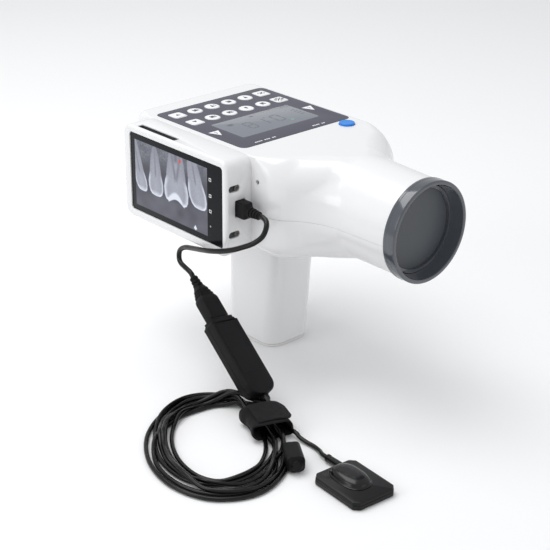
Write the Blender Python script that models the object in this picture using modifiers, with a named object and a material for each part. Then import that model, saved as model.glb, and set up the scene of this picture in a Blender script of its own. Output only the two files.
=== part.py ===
"""Hand-held intraoral x-ray unit with a side screen and a plugged-in sensor lead.

Metres, +Z up.  The origin is the middle of the grip's flat bottom.  The beam
leaves along -Y, the screen faces -X and the keypad lies on top.
"""
import math

import bmesh
import bpy
from mathutils import Matrix, Vector

# ---- driving dimensions ---------------------------------------------------
GAP = 0.0003                   # between pieces that touch
WALL = 0.0026                  # moulded shells

BODY_HALF_WIDTH = 0.0685       # x
BODY_REAR = 0.103              # y of the rear wall
BODY_BEND = -0.0820            # y where each side turns in towards the barrel
BODY_FRONT = -0.1235           # y of the front of the body
BODY_BOTTOM = 0.1125
BODY_TOP = 0.1985
BODY_SPLIT = 0.151             # parting line between the two shells
BODY_CORNER = 0.026            # plan radius of the front corners
REAR_CORNER = 0.012
FILLET_SIDE = 0.007            # top edge fillets
FILLET_FRONT = 0.026
FILLET_REAR = 0.009
FILLET_BOTTOM = 0.012

BARREL_AXIS_Z = 0.155
BARREL_ROOT_RADIUS = 0.045
BARREL_END_RADIUS = 0.0412
BARREL_END = -0.1765           # y of the barrel's open end
BARREL_ROOT = -0.070
BARREL_WALL = 0.003
BARREL_SINK = 0.0004           # barrel's top under the deck

RING_RADIUS = 0.0423
RING_BORE = 0.0387
RING_FRONT = -0.188
RING_SPIGOT = 0.009            # length inside the barrel
WINDOW_RECESS = 0.0135         # from the ring's front to the disc
WINDOW_THICKNESS = 0.002

GRIP_HALF_WIDTH = 0.025
GRIP_HALF_DEPTH = 0.0315
GRIP_CORNER = 0.014
GRIP_WALL = 0.0028
GRIP_LEAN = 0.0085             # how far the front face comes forward at the top
GRIP_FLARE = 0.012             # fillet where the grip meets the body
BASE_HEIGHT = 0.0022
BASE_PLUG = 0.004              # height of the cap's upstand in the grip

HOUSING_DEPTH = 0.0265         # how far the screen housing stands off the body's side
HOUSING_FACE = -(BODY_HALF_WIDTH + HOUSING_DEPTH)
HOUSING_FRONT = -0.0545        # y
HOUSING_REAR = 0.0815
HOUSING_BOTTOM = 0.1154
HOUSING_CORNER = 0.009
HOUSING_EDGE = 0.0028
HOUSING_WALL = 0.0026
GLASS_LENGTH = 0.1217          # along y
GLASS_HEIGHT = 0.070
GLASS_MIDDLE_Y = 0.0115
GLASS_MIDDLE_Z = 0.158
GLASS_THICKNESS = 0.0016
GLASS_SINK = 0.0008            # glass face behind the rim
GLASS_CORNER = 0.003

VENT_LENGTH = 0.0453           # slot in the housing's top
VENT_WIDTH = 0.006
VENT_MIDDLE = (HOUSING_FACE + 0.0061, 0.0401)
VENT_RIBS = 11

FILM_WIDTH = 0.1235            # keypad overlay, x
FILM_LENGTH = 0.117            # y
FILM_MIDDLE = (-0.0006, 0.0207)
FILM_THICKNESS = 0.0008
FILM_PROUD = 0.0002
FILM_CORNER = 0.006
WINDOW_WIDTH = 0.0873          # LCD window
WINDOW_LENGTH = 0.0429
WINDOW_MIDDLE = (-0.0006, 0.0044)
KEY_PITCH = 0.0193
KEY_ROWS = (0.0643, 0.0404)    # y of the two rows
KEY_DIAMETER = 0.0126
KEY_SQUARE = 0.0118
KEY_PROUD = 0.0005             # above the overlay
KEY_DEPTH = 0.0031             # height of a key
KEY_CLEARANCE = 0.0003

BUTTON_POSITION = (0.046, -0.0475)
BUTTON_DIAMETER = 0.0135
BUTTON_PROUD = 0.0018
BUTTON_FLANGE = 0.0165
BUTTON_CLEARANCE = 0.0004

PORT_MIDDLE = (HOUSING_FACE + 0.0145, 0.1570)    # x, z of the socket in the housing's front
PORT_WIDTH = 0.0108
PORT_HEIGHT = 0.0145
SCREW_HEIGHTS = (0.1748, 0.1351)   # z of the two recessed screws beside it
SCREW_X = HOUSING_FACE + 0.0084
RECESS_LENGTH = 0.0118
RECESS_HEIGHT = 0.0058
PIN_HOLE = (-0.0620, 0.1781)       # y, z of the reset hole in the body's side
PIN_HOLE_DIAMETER = 0.0042

TANK_SIZE = (0.088, 0.100, 0.060)
TANK_MIDDLE_Y = 0.012
TANK_BOTTOM = 0.1175
TANK_WALL = 0.003
TUBE_RADIUS = 0.0145
TUBE_LENGTH = 0.068
BEAM_RADIUS = 0.014            # bore of the collimator
COLLIMATOR_WALL = 0.0025
COLLIMATOR_FLANGE = 0.026

BATTERY_SIZE = (0.038, 0.048, 0.082)

LEAD_DIAMETER = 0.0044
SENSOR_LEAD_DIAMETER = 0.0036
COIL_MIDDLE = (-0.1638, -0.1247)
COIL_RADIUS = 0.0441           # middle of the turns, across
COIL_BAND = 0.0120             # half the width of the bundle, across
COIL_STRETCH = 1.46            # longer along its length
COIL_HEIGHT = 0.0125
COIL_TURN = math.radians(-33.8)

STRAP_MIDDLE = (-0.1205, -0.1315)
STRAP_SIZE = (0.036, 0.034, 0.0165)
FERRITE_ENDS = ((-0.1319, -0.1724, 0.0078), (-0.1481, -0.1976, 0.0078))
FERRITE_RADIUS = 0.0075
CHAIN_TOP = (-0.0973, -0.0139, 0.0860)     # where the lead enters the moulded socket
CHAIN_FOOT = (-0.1060, -0.1103, 0.0167)    # lower end of the adapter, on the coil
CHAIN_ROLL = math.radians(12.0)
RELIEF_LENGTH = 0.010
SOCKET_SIZE = (0.0195, 0.0105, 0.0330)     # width, thickness, length
ADAPTER_SIZE = (0.0295, 0.0140)            # width, thickness
PLUG_LENGTH = 0.0125           # moulded body outside the housing
PLUG_NECK = 0.0120
SENSOR_MIDDLE = (-0.1277, -0.2381)
SENSOR_TURN = math.radians(-4.6)
SENSOR_SIZE = (0.0405, 0.0515, 0.0068)
SENSOR_CHAMFER = 0.007
SLEEVE_LENGTH = 0.015

# route of the lead from the plug to the moulded socket
LEAD_ROUTE = (
    (-0.0805, -0.0794, 0.1570), (-0.0805, -0.0824, 0.1570), (-0.0818, -0.0875, 0.1555), (-0.0848, -0.0908, 0.1518),
    (-0.0895, -0.0916, 0.1460), (-0.0944, -0.0865, 0.1400), (-0.0985, -0.0775, 0.1348),
    (-0.1015, -0.0680, 0.1303), (-0.1032, -0.0560, 0.1258), (-0.1030, -0.0420, 0.1215),
    (-0.1003, -0.0280, 0.1172), (-0.0965, -0.0130, 0.1125), (-0.0935, 0.0010, 0.1080),
    (-0.0925, 0.0090, 0.1030), (-0.0930, 0.0105, 0.0975), (-0.0944, 0.0065, 0.0922),
)
# route of the thin lead from the coil to the sensor, on the floor
SENSOR_ROUTE = (
    (-0.1111, -0.1526, 0.0052), (-0.1118, -0.1610, 0.0034), (-0.1116, -0.1690, 0.0022),
    (-0.1113, -0.1770, 0.0020), (-0.1128, -0.1855, 0.0022),
)

STRAP_TURN = math.radians(-21.6)
SLEEVE_X = 0.0078
WINDOW_RADIUS = 0.0360
CONTROL_POST = (0.050, (-0.030, 0.085))    # x and the two y of the board's posts
BUTTON_TRAVEL = 0.0010
BUTTON_REST = BODY_TOP - WALL - 0.0027     # underside of the button's flange
BASE_SCREW_Y = 0.0270
SCREW_HOLE = 0.0013
SCREW_HEAD = 0.0024
SCREW_HEAD_HEIGHT = 0.0014
BOSS_LOW = BASE_HEIGHT + BASE_PLUG + GAP
BOSS_HIGH = 0.016
SCREW_BOSS_X = (HOUSING_FACE + 0.0082, HOUSING_FACE + 0.0155)   # bosses behind the housing's front
RECESS_DEPTH = 0.0020
RECESS_SHIFT = 0.0030                      # the screw sits at one end of its recess
DISPLAY_THICKNESS = 0.0024
TRAY_FLOOR = 0.0013

PARTS = "intraoral_xray_unit"
CUTTERS = "cutters"


# ---- helpers --------------------------------------------------------------
def clear_scene():
    for item in list(bpy.data.objects):
        bpy.data.objects.remove(item, do_unlink=True)


def collection(name):
    group = bpy.data.collections.new(name)
    bpy.context.scene.collection.children.link(group)
    return group


def finish(name, colour, roughness, metallic=0.0):
    """A Principled material for one sub-part."""
    material = bpy.data.materials.new(name)
    material.use_nodes = True
    shader = material.node_tree.nodes["Principled BSDF"]
    shader.inputs["Base Color"].default_value = (*colour, 1.0)
    shader.inputs["Roughness"].default_value = roughness
    shader.inputs["Metallic"].default_value = metallic
    material.diffuse_color = (*colour, 1.0)
    return material


def take(item):
    """Unlink an object from wherever its operator put it and file it with the parts."""
    for group in list(item.users_collection):
        group.objects.unlink(item)
    bpy.data.collections[PARTS].objects.link(item)
    return item


def settle(item):
    """Apply an object's modifiers and its transform."""
    bpy.context.view_layer.update()
    graph = bpy.context.evaluated_depsgraph_get()
    mesh = bpy.data.meshes.new_from_object(item.evaluated_get(graph))
    mesh.transform(item.matrix_world)
    item.modifiers.clear()
    item.data = mesh
    item.matrix_world = Matrix.Identity(4)
    return item


def remove(item):
    bpy.data.objects.remove(item, do_unlink=True)


def boolean(item, other, operation):
    """Combine two solids and drop the second."""
    change = item.modifiers.new(operation.lower(), "BOOLEAN")
    change.operation = operation
    change.solver = "EXACT"
    change.object = other
    other.hide_render = True
    other.display_type = "WIRE"
    for group in list(other.users_collection):
        group.objects.unlink(other)
    bpy.data.collections[CUTTERS].objects.link(other)
    settle(item)
    remove(other)
    return item


def cut(item, *others):
    for other in others:
        boolean(item, other, "DIFFERENCE")
    return item


def join(item, *others):
    for other in others:
        boolean(item, other, "UNION")
    return item


def bevel(item, width, segments=2, angle=40.0):
    change = item.modifiers.new("edges", "BEVEL")
    change.width = width
    change.segments = segments
    change.limit_method = "ANGLE"
    change.angle_limit = math.radians(angle)
    return settle(item)


def box(name, low, high, edge=0.0, segments=2):
    """A box between two corners, with rounded edges."""
    low = Vector(low)
    high = Vector(high)
    bpy.ops.mesh.primitive_cube_add(size=1.0, location=(low + high) / 2.0)
    item = bpy.context.object
    item.name = name
    item.scale = high - low
    take(item)
    settle(item)
    if edge > 0.0:
        bevel(item, edge, segments)
    return item


def cylinder(name, radius, start, end, sides=32, edge=0.0, segments=2):
    """A round bar between two points."""
    start = Vector(start)
    end = Vector(end)
    run = end - start
    bpy.ops.mesh.primitive_cylinder_add(vertices=sides, radius=radius, depth=run.length)
    item = bpy.context.object
    item.name = name
    item.matrix_world = Matrix.Translation((start + end) / 2.0) @ run.to_track_quat("Z", "Y").to_matrix().to_4x4()
    take(item)
    settle(item)
    if edge > 0.0:
        bevel(item, edge, segments, 50.0)
    return item


def rounded_outline(corners, steps):
    """Points and outward normals round a polygon, whose corners are (x, y, radius)."""
    points = []
    count = len(corners)
    for index in range(count):
        here = Vector(corners[index][:2])
        before = (Vector(corners[index - 1][:2]) - here).normalized()
        after = (Vector(corners[(index + 1) % count][:2]) - here).normalized()
        radius = corners[index][2]
        half = before.angle(after) / 2.0
        middle = here + (before + after).normalized() * radius / math.sin(half)
        start = here + before * radius / math.tan(half) - middle
        sweep = math.pi - 2.0 * half
        for step in range(steps + 1):
            arm = Matrix.Rotation(sweep * step / steps, 2) @ start
            points.append((middle + arm, arm.normalized()))
    return points


def loft(name, rings):
    """A closed solid through rings of points, from the lowest ring to the highest."""
    mesh = bmesh.new()
    rows = [[mesh.verts.new(point) for point in ring] for ring in rings]
    count = len(rows[0])
    for lower, upper in zip(rows, rows[1:]):
        for index in range(count):
            after = (index + 1) % count
            mesh.faces.new((lower[index], lower[after], upper[after], upper[index]))
    mesh.faces.new(list(reversed(rows[0])))
    mesh.faces.new(rows[-1])
    data = bpy.data.meshes.new(name)
    mesh.to_mesh(data)
    mesh.free()
    item = bpy.data.objects.new(name, data)
    bpy.data.collections[PARTS].objects.link(item)
    return item


def plate(name, corners, low, high, steps=4, edge=0.0):
    """A flat piece with a rounded outline, between two heights."""
    outline = rounded_outline(corners, steps)
    curve = bpy.data.curves.new(name, "CURVE")
    curve.dimensions = "2D"
    curve.fill_mode = "BOTH"
    curve.extrude = (high - low) / 2.0
    spline = curve.splines.new("POLY")
    spline.points.add(len(outline) - 1)
    for point, (place, _) in zip(spline.points, outline):
        point.co = (place.x, place.y, 0.0, 1.0)
    spline.use_cyclic_u = True
    flat = bpy.data.objects.new(name + "_outline", curve)
    flat.location.z = (low + high) / 2.0
    bpy.context.scene.collection.objects.link(flat)
    bpy.context.view_layer.update()
    graph = bpy.context.evaluated_depsgraph_get()
    mesh = bpy.data.meshes.new_from_object(flat.evaluated_get(graph))
    item = bpy.data.objects.new(name, mesh)
    item.matrix_world = flat.matrix_world
    bpy.data.collections[PARTS].objects.link(item)
    remove(flat)
    shape = bmesh.new()
    shape.from_mesh(mesh)
    bmesh.ops.remove_doubles(shape, verts=shape.verts, dist=0.000001)
    bmesh.ops.dissolve_limit(shape, angle_limit=0.001, verts=shape.verts, edges=shape.edges)
    bmesh.ops.recalc_face_normals(shape, faces=shape.faces)
    shape.to_mesh(mesh)
    shape.free()
    settle(item)
    if edge > 0.0:
        bevel(item, edge, 2, 60.0)
    return item


def rectangle(middle, width, length, radius):
    """Corners of a rectangle for a rounded outline."""
    x, y = middle
    return [(x - width / 2, y - length / 2, radius), (x + width / 2, y - length / 2, radius),
            (x + width / 2, y + length / 2, radius), (x - width / 2, y + length / 2, radius)]


def turned(name, profile, start, direction, sides=48):
    """A turned solid: profile is (radius, distance along the axis), closed, outer side first."""
    mesh = bmesh.new()
    verts = [mesh.verts.new((radius, 0.0, along)) for radius, along in profile]
    for index in range(len(verts)):
        if profile[index][0] > 0.0 or profile[(index + 1) % len(verts)][0] > 0.0:
            mesh.edges.new((verts[index], verts[(index + 1) % len(verts)]))
    data = bpy.data.meshes.new(name)
    mesh.to_mesh(data)
    mesh.free()
    item = bpy.data.objects.new(name, data)
    bpy.data.collections[PARTS].objects.link(item)
    screw = item.modifiers.new("turn", "SCREW")
    screw.steps = sides
    screw.render_steps = sides
    screw.use_merge_vertices = True
    screw.merge_threshold = 0.000001
    screw.use_normal_calculate = True
    turn = Vector(direction).to_track_quat("Z", "Y").to_matrix().to_4x4()
    item.matrix_world = Matrix.Translation(start) @ turn
    settle(item)
    shape = bmesh.new()
    shape.from_mesh(item.data)
    bmesh.ops.remove_doubles(shape, verts=shape.verts, dist=0.000001)
    bmesh.ops.recalc_face_normals(shape, faces=shape.faces)
    shape.to_mesh(item.data)
    shape.free()
    return item


def oriented(item, frame):
    """Carry a piece modelled about its own axes to its frame."""
    item.data.transform(frame)
    return item


def give(item, name, material):
    """Name a finished sub-part and shade it."""
    item.name = name
    item.data.name = name
    item.data.materials.clear()
    item.data.materials.append(material)
    item.data.shade_smooth()
    item.data.set_sharp_from_angle(angle=math.radians(35.0))
    return item


def set_origin(item, place):
    """Put a moving piece's origin on its joint."""
    item.data.transform(Matrix.Translation(-Vector(place)))
    item.location = place
    return item


# ---- the body's outer form --------------------------------------------------
def body_corners(inset):
    """Plan corners of the body, moved in by inset."""
    side = BODY_HALF_WIDTH - inset
    rear = BODY_REAR - inset
    front = BODY_FRONT + inset
    shift = inset * math.tan(math.radians(22.5))
    bend = BODY_BEND + shift
    nose = side - (bend - front)
    corner = BODY_CORNER - inset
    back = REAR_CORNER - inset
    return [(-nose, front, corner), (nose, front, corner), (side, bend, corner),
            (side, rear, back), (-side, rear, back), (-side, bend, corner)]


def stationed(outline, pitch):
    """The outline with points added along its long sides, where the top fillet changes."""
    result = []
    for (p, n), (q, m) in zip(outline, outline[1:] + outline[:1]):
        result.append((p, n))
        count = int((q - p).length / pitch) if abs(q.x - p.x) < 1e-9 else 1
        for step in range(1, count):
            result.append((p.lerp(q, step / count), n))
    return result


def ramp(value, start, end):
    """0 at start, 1 at end, eased."""
    share = min(max((value - start) / (end - start), 0.0), 1.0)
    return share * share * (3.0 - 2.0 * share)


def top_fillet(x, y):
    """Radius of the body's top edge at a place round its outline."""
    if x > 0.0:
        radius = FILLET_SIDE
        radius += (FILLET_FRONT - radius) * ramp(y, BODY_BEND + 0.030, BODY_BEND - 0.006)
    else:
        radius = FILLET_FRONT * ramp(y, HOUSING_FRONT + 0.002, BODY_BEND - 0.006)
        radius += FILLET_REAR * ramp(y, HOUSING_REAR - 0.004, HOUSING_REAR + 0.014)
    if y > BODY_REAR - REAR_CORNER:
        share = ramp(x, -BODY_HALF_WIDTH, -BODY_HALF_WIDTH + REAR_CORNER)
        back = FILLET_REAR - (FILLET_REAR - FILLET_SIDE) * ramp(x, BODY_HALF_WIDTH - REAR_CORNER, BODY_HALF_WIDTH)
        radius = radius + (back - radius) * share
    return radius


def body_block(name, inset, steps, levels):
    """The body without barrel and grip; inset makes the hollow inside it."""
    outline = stationed(rounded_outline(body_corners(inset), steps), 0.012)
    bottom = BODY_BOTTOM + inset
    top = BODY_TOP - inset
    rings = []
    for level in range(levels + 1):
        angle = math.pi / 2.0 * level / levels
        radius = FILLET_BOTTOM - inset
        rings.append([(p.x - n.x * radius * (1 - math.sin(angle)), p.y - n.y * radius * (1 - math.sin(angle)),
                       bottom + radius * (1 - math.cos(angle))) for p, n in outline])
    for level in range(levels + 1):
        angle = math.pi / 2.0 * level / levels
        ring = []
        for p, n in outline:
            radius = max(top_fillet(p.x, p.y) - inset, 0.0004)
            ring.append((p.x - n.x * radius * (1 - math.cos(angle)), p.y - n.y * radius * (1 - math.cos(angle)),
                         top - radius * (1 - math.sin(angle))))
        rings.append(ring)
    return loft(name, rings)


def barrel_radius(y):
    """Outer radius of the barrel, which narrows towards its end."""
    share = (y - BARREL_ROOT) / (BARREL_END - BARREL_ROOT)
    return BARREL_ROOT_RADIUS + (BARREL_END_RADIUS - BARREL_ROOT_RADIUS) * share


def barrel(name, inset, sides, extra=0.0):
    """The barrel as a plain cone frustum."""
    length = BARREL_ROOT - BARREL_END
    profile = [(barrel_radius(BARREL_ROOT) - inset, 0.0), (barrel_radius(BARREL_END - extra) - inset, length + extra),
               (0.0, length + extra), (0.0, 0.0)]
    return turned(name, profile, (0.0, BARREL_ROOT, BARREL_AXIS_Z), (0, -1, 0), sides)


def grip_ring(height, inset, steps, flare=0.0):
    """One level of the grip, whose front comes forward as it rises."""
    lean = GRIP_LEAN * min(height / BODY_BOTTOM, 1.0)
    out = flare - inset
    front = -GRIP_HALF_DEPTH - lean - out
    rear = GRIP_HALF_DEPTH + out
    side = GRIP_HALF_WIDTH + out
    corner = GRIP_CORNER + out
    corners = [(-side, front, corner), (side, front, corner), (side, rear, corner), (-side, rear, corner)]
    return [(p.x, p.y, height) for p, _ in rounded_outline(corners, steps)]


def grip(name, inset, steps, low, high, flare_levels):
    """The grip, with a hollow fillet where it runs up into the body."""
    rings = [grip_ring(low, inset, steps)]
    start = BODY_BOTTOM - GRIP_FLARE
    if flare_levels:
        for level in range(flare_levels + 1):
            angle = math.pi / 2.0 * level / flare_levels * 0.94
            rise = GRIP_FLARE * math.sin(angle)
            rings.append(grip_ring(start + rise, inset, steps, GRIP_FLARE * (1 - math.cos(angle))))
    rings.append(grip_ring(high, inset, steps, GRIP_FLARE * (1 - math.cos(math.pi / 2 * 0.94)) if flare_levels else 0.0))
    return loft(name, rings)


def moulded_body():
    """Body, barrel and grip as one hollow moulding, before it is parted."""
    outer = body_block("moulding", 0.0, 7, 5)
    tube = barrel("barrel_outside", 0.0, 56)
    cut(tube, box("above_deck", (-0.1, -0.3, BODY_TOP - BARREL_SINK), (0.1, 0.0, BODY_TOP + 0.05)))
    join(outer, tube)
    join(outer, grip("grip_outside", 0.0, 5, BASE_HEIGHT + GAP, BODY_BOTTOM + 0.006, 4))
    hollow = body_block("hollow", WALL, 3, 2)
    join(hollow, barrel("barrel_inside", BARREL_WALL, 40, 0.010))
    join(hollow, grip("grip_inside", GRIP_WALL, 3, -0.005, BODY_BOTTOM + 0.010, 0))
    return cut(outer, hollow)


# ---- shells -----------------------------------------------------------------
def keypad_openings():
    """Outlines of the holes in the deck under the key field and the LCD window."""
    rows = KEY_ROWS[0] - KEY_ROWS[1]
    field = rectangle((FILM_MIDDLE[0], sum(KEY_ROWS) / 2), KEY_PITCH * 5 + KEY_DIAMETER + 0.002,
                      rows + KEY_DIAMETER + 0.002, 0.004)
    window = rectangle(WINDOW_MIDDLE, WINDOW_WIDTH + 2 * GAP, WINDOW_LENGTH + 2 * GAP, 0.002)
    return field, window


FILM_TOP = BODY_TOP + FILM_PROUD
FILM_BOTTOM = FILM_TOP - FILM_THICKNESS
FILM_SEAT = FILM_BOTTOM - GAP
DECK_UNDER = BODY_TOP - WALL
CONTROL_TOP = DECK_UNDER - 0.0093
BOARD = 0.0016                 # thickness of a circuit board


def upper_shell(shell, white):
    under = box("under", (-0.2, -0.3, -0.1), (0.2, 0.2, BODY_SPLIT + GAP / 2))
    cut(shell, under)
    for x in (-CONTROL_POST[0], CONTROL_POST[0]):
        for y in CONTROL_POST[1]:
            join(shell, cylinder("post", 0.003, (x, y, CONTROL_TOP + GAP), (x, y, DECK_UNDER + 0.001), 12))
    pocket = plate("pocket", rectangle(FILM_MIDDLE, FILM_WIDTH + 2 * GAP, FILM_LENGTH + 2 * GAP, FILM_CORNER + GAP),
                   FILM_SEAT, BODY_TOP + 0.005)
    field, window = keypad_openings()
    low = BODY_TOP - 0.008
    cut(shell, pocket, plate("field", field, low, BODY_TOP + 0.01), plate("window", window, low, BODY_TOP + 0.01))
    hole = (*BUTTON_POSITION, low)
    cut(shell, cylinder("button_hole", BUTTON_DIAMETER / 2 + BUTTON_CLEARANCE, hole, (*BUTTON_POSITION, 0.21), 40))
    y, z = PIN_HOLE
    wall = -BODY_HALF_WIDTH
    cut(shell, cylinder("pin_hole", PIN_HOLE_DIAMETER / 2, (wall - 0.005, y, z), (wall + 0.008, y, z), 20))
    return give(shell, "upper_shell", white)


def lower_shell(shell, white):
    over = box("over", (-0.2, -0.3, BODY_SPLIT - GAP / 2), (0.2, 0.2, 0.3))
    cut(shell, over)
    floor = BODY_BOTTOM + WALL
    for side in (-1, 1):
        low, high = sorted((side * 0.0280, side * 0.0370))
        join(shell, box("rail", (low, TANK_MIDDLE_Y - 0.034, floor - 0.001),
                        (high, TANK_MIDDLE_Y + 0.034, TANK_BOTTOM - GAP)))
    for side in (-1, 1):
        wall = GRIP_HALF_DEPTH - GRIP_WALL
        low, high = sorted((side * (BATTERY_SIZE[1] / 2 + 0.0008), side * (wall + 0.0008)))
        boss = box("boss", (-0.004, low, BOSS_LOW), (0.004, high, BOSS_HIGH))
        join(shell, boss)
        cut(shell, cylinder("pilot", SCREW_HOLE, (0, side * BASE_SCREW_Y, BOSS_LOW - 0.001),
                            (0, side * BASE_SCREW_Y, BOSS_HIGH + 0.001), 16))
    return give(shell, "lower_shell", white)


def cone_ring(slate):
    """End ring of the barrel, with a spigot inside the barrel and a step that holds the disc."""
    disc = RING_FRONT + WINDOW_RECESS
    back = disc + WINDOW_THICKNESS + GAP
    root = BARREL_END - GAP
    spigot = BARREL_END + RING_SPIGOT
    inside = barrel_radius(BARREL_END) - BARREL_WALL - GAP - 0.0002
    lip = 0.0012
    profile = [(inside, spigot), (inside, root), (RING_RADIUS - 0.0006, root), (RING_RADIUS, root - 0.0006),
               (RING_RADIUS, RING_FRONT + lip), (RING_RADIUS - lip, RING_FRONT), (RING_BORE + 0.0006, RING_FRONT),
               (RING_BORE, RING_FRONT + 0.0006), (WINDOW_RADIUS + GAP, disc - 0.0004), (WINDOW_RADIUS + GAP, back),
               (WINDOW_RADIUS - 0.0025, back), (WINDOW_RADIUS - 0.0025, spigot)]
    ring = turned("ring", [(radius, -along) for radius, along in profile], (0, 0, BARREL_AXIS_Z), (0, -1, 0), 64)
    return give(ring, "cone_ring", slate)


def beam_window(slate):
    front = RING_FRONT + WINDOW_RECESS
    disc = cylinder("disc", WINDOW_RADIUS, (0, front + WINDOW_THICKNESS, BARREL_AXIS_Z), (0, front, BARREL_AXIS_Z), 64)
    return give(disc, "beam_window", slate)


def base_cap(grey):
    corners = [(-GRIP_HALF_WIDTH, -GRIP_HALF_DEPTH, GRIP_CORNER), (GRIP_HALF_WIDTH, -GRIP_HALF_DEPTH, GRIP_CORNER),
               (GRIP_HALF_WIDTH, GRIP_HALF_DEPTH, GRIP_CORNER), (-GRIP_HALF_WIDTH, GRIP_HALF_DEPTH, GRIP_CORNER)]
    cap = plate("cap", corners, 0.0, BASE_HEIGHT, 5, 0.0005)
    inset = GRIP_WALL + GAP + GRIP_LEAN * (BASE_HEIGHT + BASE_PLUG) / BODY_BOTTOM
    plug = plate("plug", rectangle((0, 0), 2 * (GRIP_HALF_WIDTH - inset), 2 * (GRIP_HALF_DEPTH - inset),
                                   GRIP_CORNER - inset), BASE_HEIGHT - 0.0005, BASE_HEIGHT + BASE_PLUG, 4)
    join(cap, plug)
    for side in (-1, 1):
        y = side * BASE_SCREW_Y
        cut(cap, cylinder("clear", SCREW_HOLE + 0.0002, (0, y, -0.001), (0, y, 0.02), 16),
            cylinder("sink", SCREW_HEAD + GAP, (0, y, -0.001), (0, y, SCREW_HEAD_HEIGHT + GAP), 24))
    return give(cap, "base_cap", grey)


def base_screw(name, side, steel):
    """Pan screw, let into the cap."""
    y = side * BASE_SCREW_Y
    sunk = 0.0002
    screw = cylinder("head", SCREW_HEAD, (0, y, sunk), (0, y, SCREW_HEAD_HEIGHT), 24)
    join(screw, cylinder("shank", SCREW_HOLE - 0.0002, (0, y, SCREW_HEAD_HEIGHT - 0.0004), (0, y, BOSS_HIGH - 0.002), 16))
    slot = box("slot", (-0.0016, y - 0.0003, -0.001), (0.0016, y + 0.0003, sunk + 0.0006))
    cross = box("cross", (-0.0003, y - 0.0016, -0.001), (0.0003, y + 0.0016, sunk + 0.0006))
    return give(cut(screw, join(slot, cross)), name, steel)


def battery_pack(blue):
    width, depth, height = BATTERY_SIZE
    low = BASE_HEIGHT + BASE_PLUG + GAP
    pack = box("pack", (-width / 2, -depth / 2, low), (width / 2, depth / 2, low + height), 0.003)
    give(pack, "battery_pack", blue)
    low += height + GAP
    board = box("board", (-width / 2 + 0.001, -depth / 2 + 0.001, low), (width / 2 - 0.001, depth / 2 - 0.001, low + BOARD))
    give(board, "battery_board", finish("battery_board", (0.05, 0.22, 0.12), 0.5))


# ---- inside the body --------------------------------------------------------
def tank(aluminium):
    """Oil tank of the x-ray head, with its beam port, and its lid."""
    width, length, height = TANK_SIZE
    low = (-width / 2, TANK_MIDDLE_Y - length / 2, TANK_BOTTOM)
    high = (width / 2, TANK_MIDDLE_Y + length / 2, TANK_BOTTOM + height)
    case = box("case", low, high, 0.003)
    room = box("room", [v + TANK_WALL for v in low], (high[0] - TANK_WALL, high[1] - TANK_WALL, high[2] + 0.01))
    port = cylinder("port", BEAM_RADIUS + 0.001, (0, low[1] - 0.01, BARREL_AXIS_Z), (0, low[1] + 0.01, BARREL_AXIS_Z), 32)
    give(cut(case, room, port), "tank_body", aluminium)
    lid = box("lid", (low[0], low[1], high[2] + GAP), (high[0], high[1], high[2] + GAP + 0.0025), 0.0006, 1)
    give(lid, "tank_lid", aluminium)


def tank_inside(copper, glass, steel, green, resin):
    floor = TANK_BOTTOM + TANK_WALL + GAP
    front = TANK_MIDDLE_Y - TANK_SIZE[1] / 2
    y = front + TANK_WALL + TUBE_RADIUS + 0.006
    half = TUBE_LENGTH / 2
    neck = TUBE_RADIUS * 0.62
    profile = [(0.0, -half), (neck, -half), (neck, -half * 0.55), (TUBE_RADIUS, -half * 0.35),
               (TUBE_RADIUS, half * 0.35), (neck, half * 0.55), (neck, half), (0.0, half)]
    tube = turned("tube", profile, (0, y, BARREL_AXIS_Z), (1, 0, 0), 32)
    give(tube, "xray_tube", glass)
    base = box("base", (-half, y - 0.010, floor), (half, y + 0.010, floor + 0.004))
    for side in (-1, 1):
        low, high = sorted((side * half * 0.62, side * half * 0.92))
        join(base, box("upright", (low, y - 0.010, floor + 0.003), (high, y + 0.010, BARREL_AXIS_Z)))
    groove = cylinder("groove", neck + GAP, (-half - 0.01, y, BARREL_AXIS_Z), (half + 0.01, y, BARREL_AXIS_Z), 32)
    give(cut(base, groove), "tube_cradle", resin)
    start = y + TUBE_RADIUS + 0.006
    core = box("core", (-0.022, start, floor), (0.022, start + 0.026, floor + 0.040), 0.001, 1)
    winding = box("winding", (-0.013, start - 0.0045, floor + 0.008), (0.013, start + 0.0305, floor + 0.032), 0.004)
    give(join(core, winding), "hv_transformer", copper)
    rear = TANK_MIDDLE_Y + TANK_SIZE[1] / 2 - TANK_WALL
    board = box("board", (-0.036, rear - GAP - BOARD, floor), (0.036, rear - GAP, floor + 0.052))
    give(board, "multiplier_board", green)
    filter_disc = cylinder("filter", BEAM_RADIUS + 0.001 - GAP, (0, front + 0.0004, BARREL_AXIS_Z),
                           (0, front + TANK_WALL - 0.0006, BARREL_AXIS_Z), 32)
    give(filter_disc, "beam_filter", steel)


def collimator(lead):
    """Lead-lined tube from the tank's port to the back of the disc."""
    back = -(TANK_MIDDLE_Y - TANK_SIZE[1] / 2 - GAP)
    front = -(RING_FRONT + WINDOW_RECESS + WINDOW_THICKNESS + GAP)
    outer = BEAM_RADIUS + COLLIMATOR_WALL
    profile = [(COLLIMATOR_FLANGE, back), (COLLIMATOR_FLANGE, back + 0.003), (outer, back + 0.003), (outer, front),
               (BEAM_RADIUS, front), (BEAM_RADIUS, back)]
    tube = turned("collimator", profile, (0, 0, BARREL_AXIS_Z), (0, -1, 0), 40)
    return give(tube, "collimator", lead)


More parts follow.
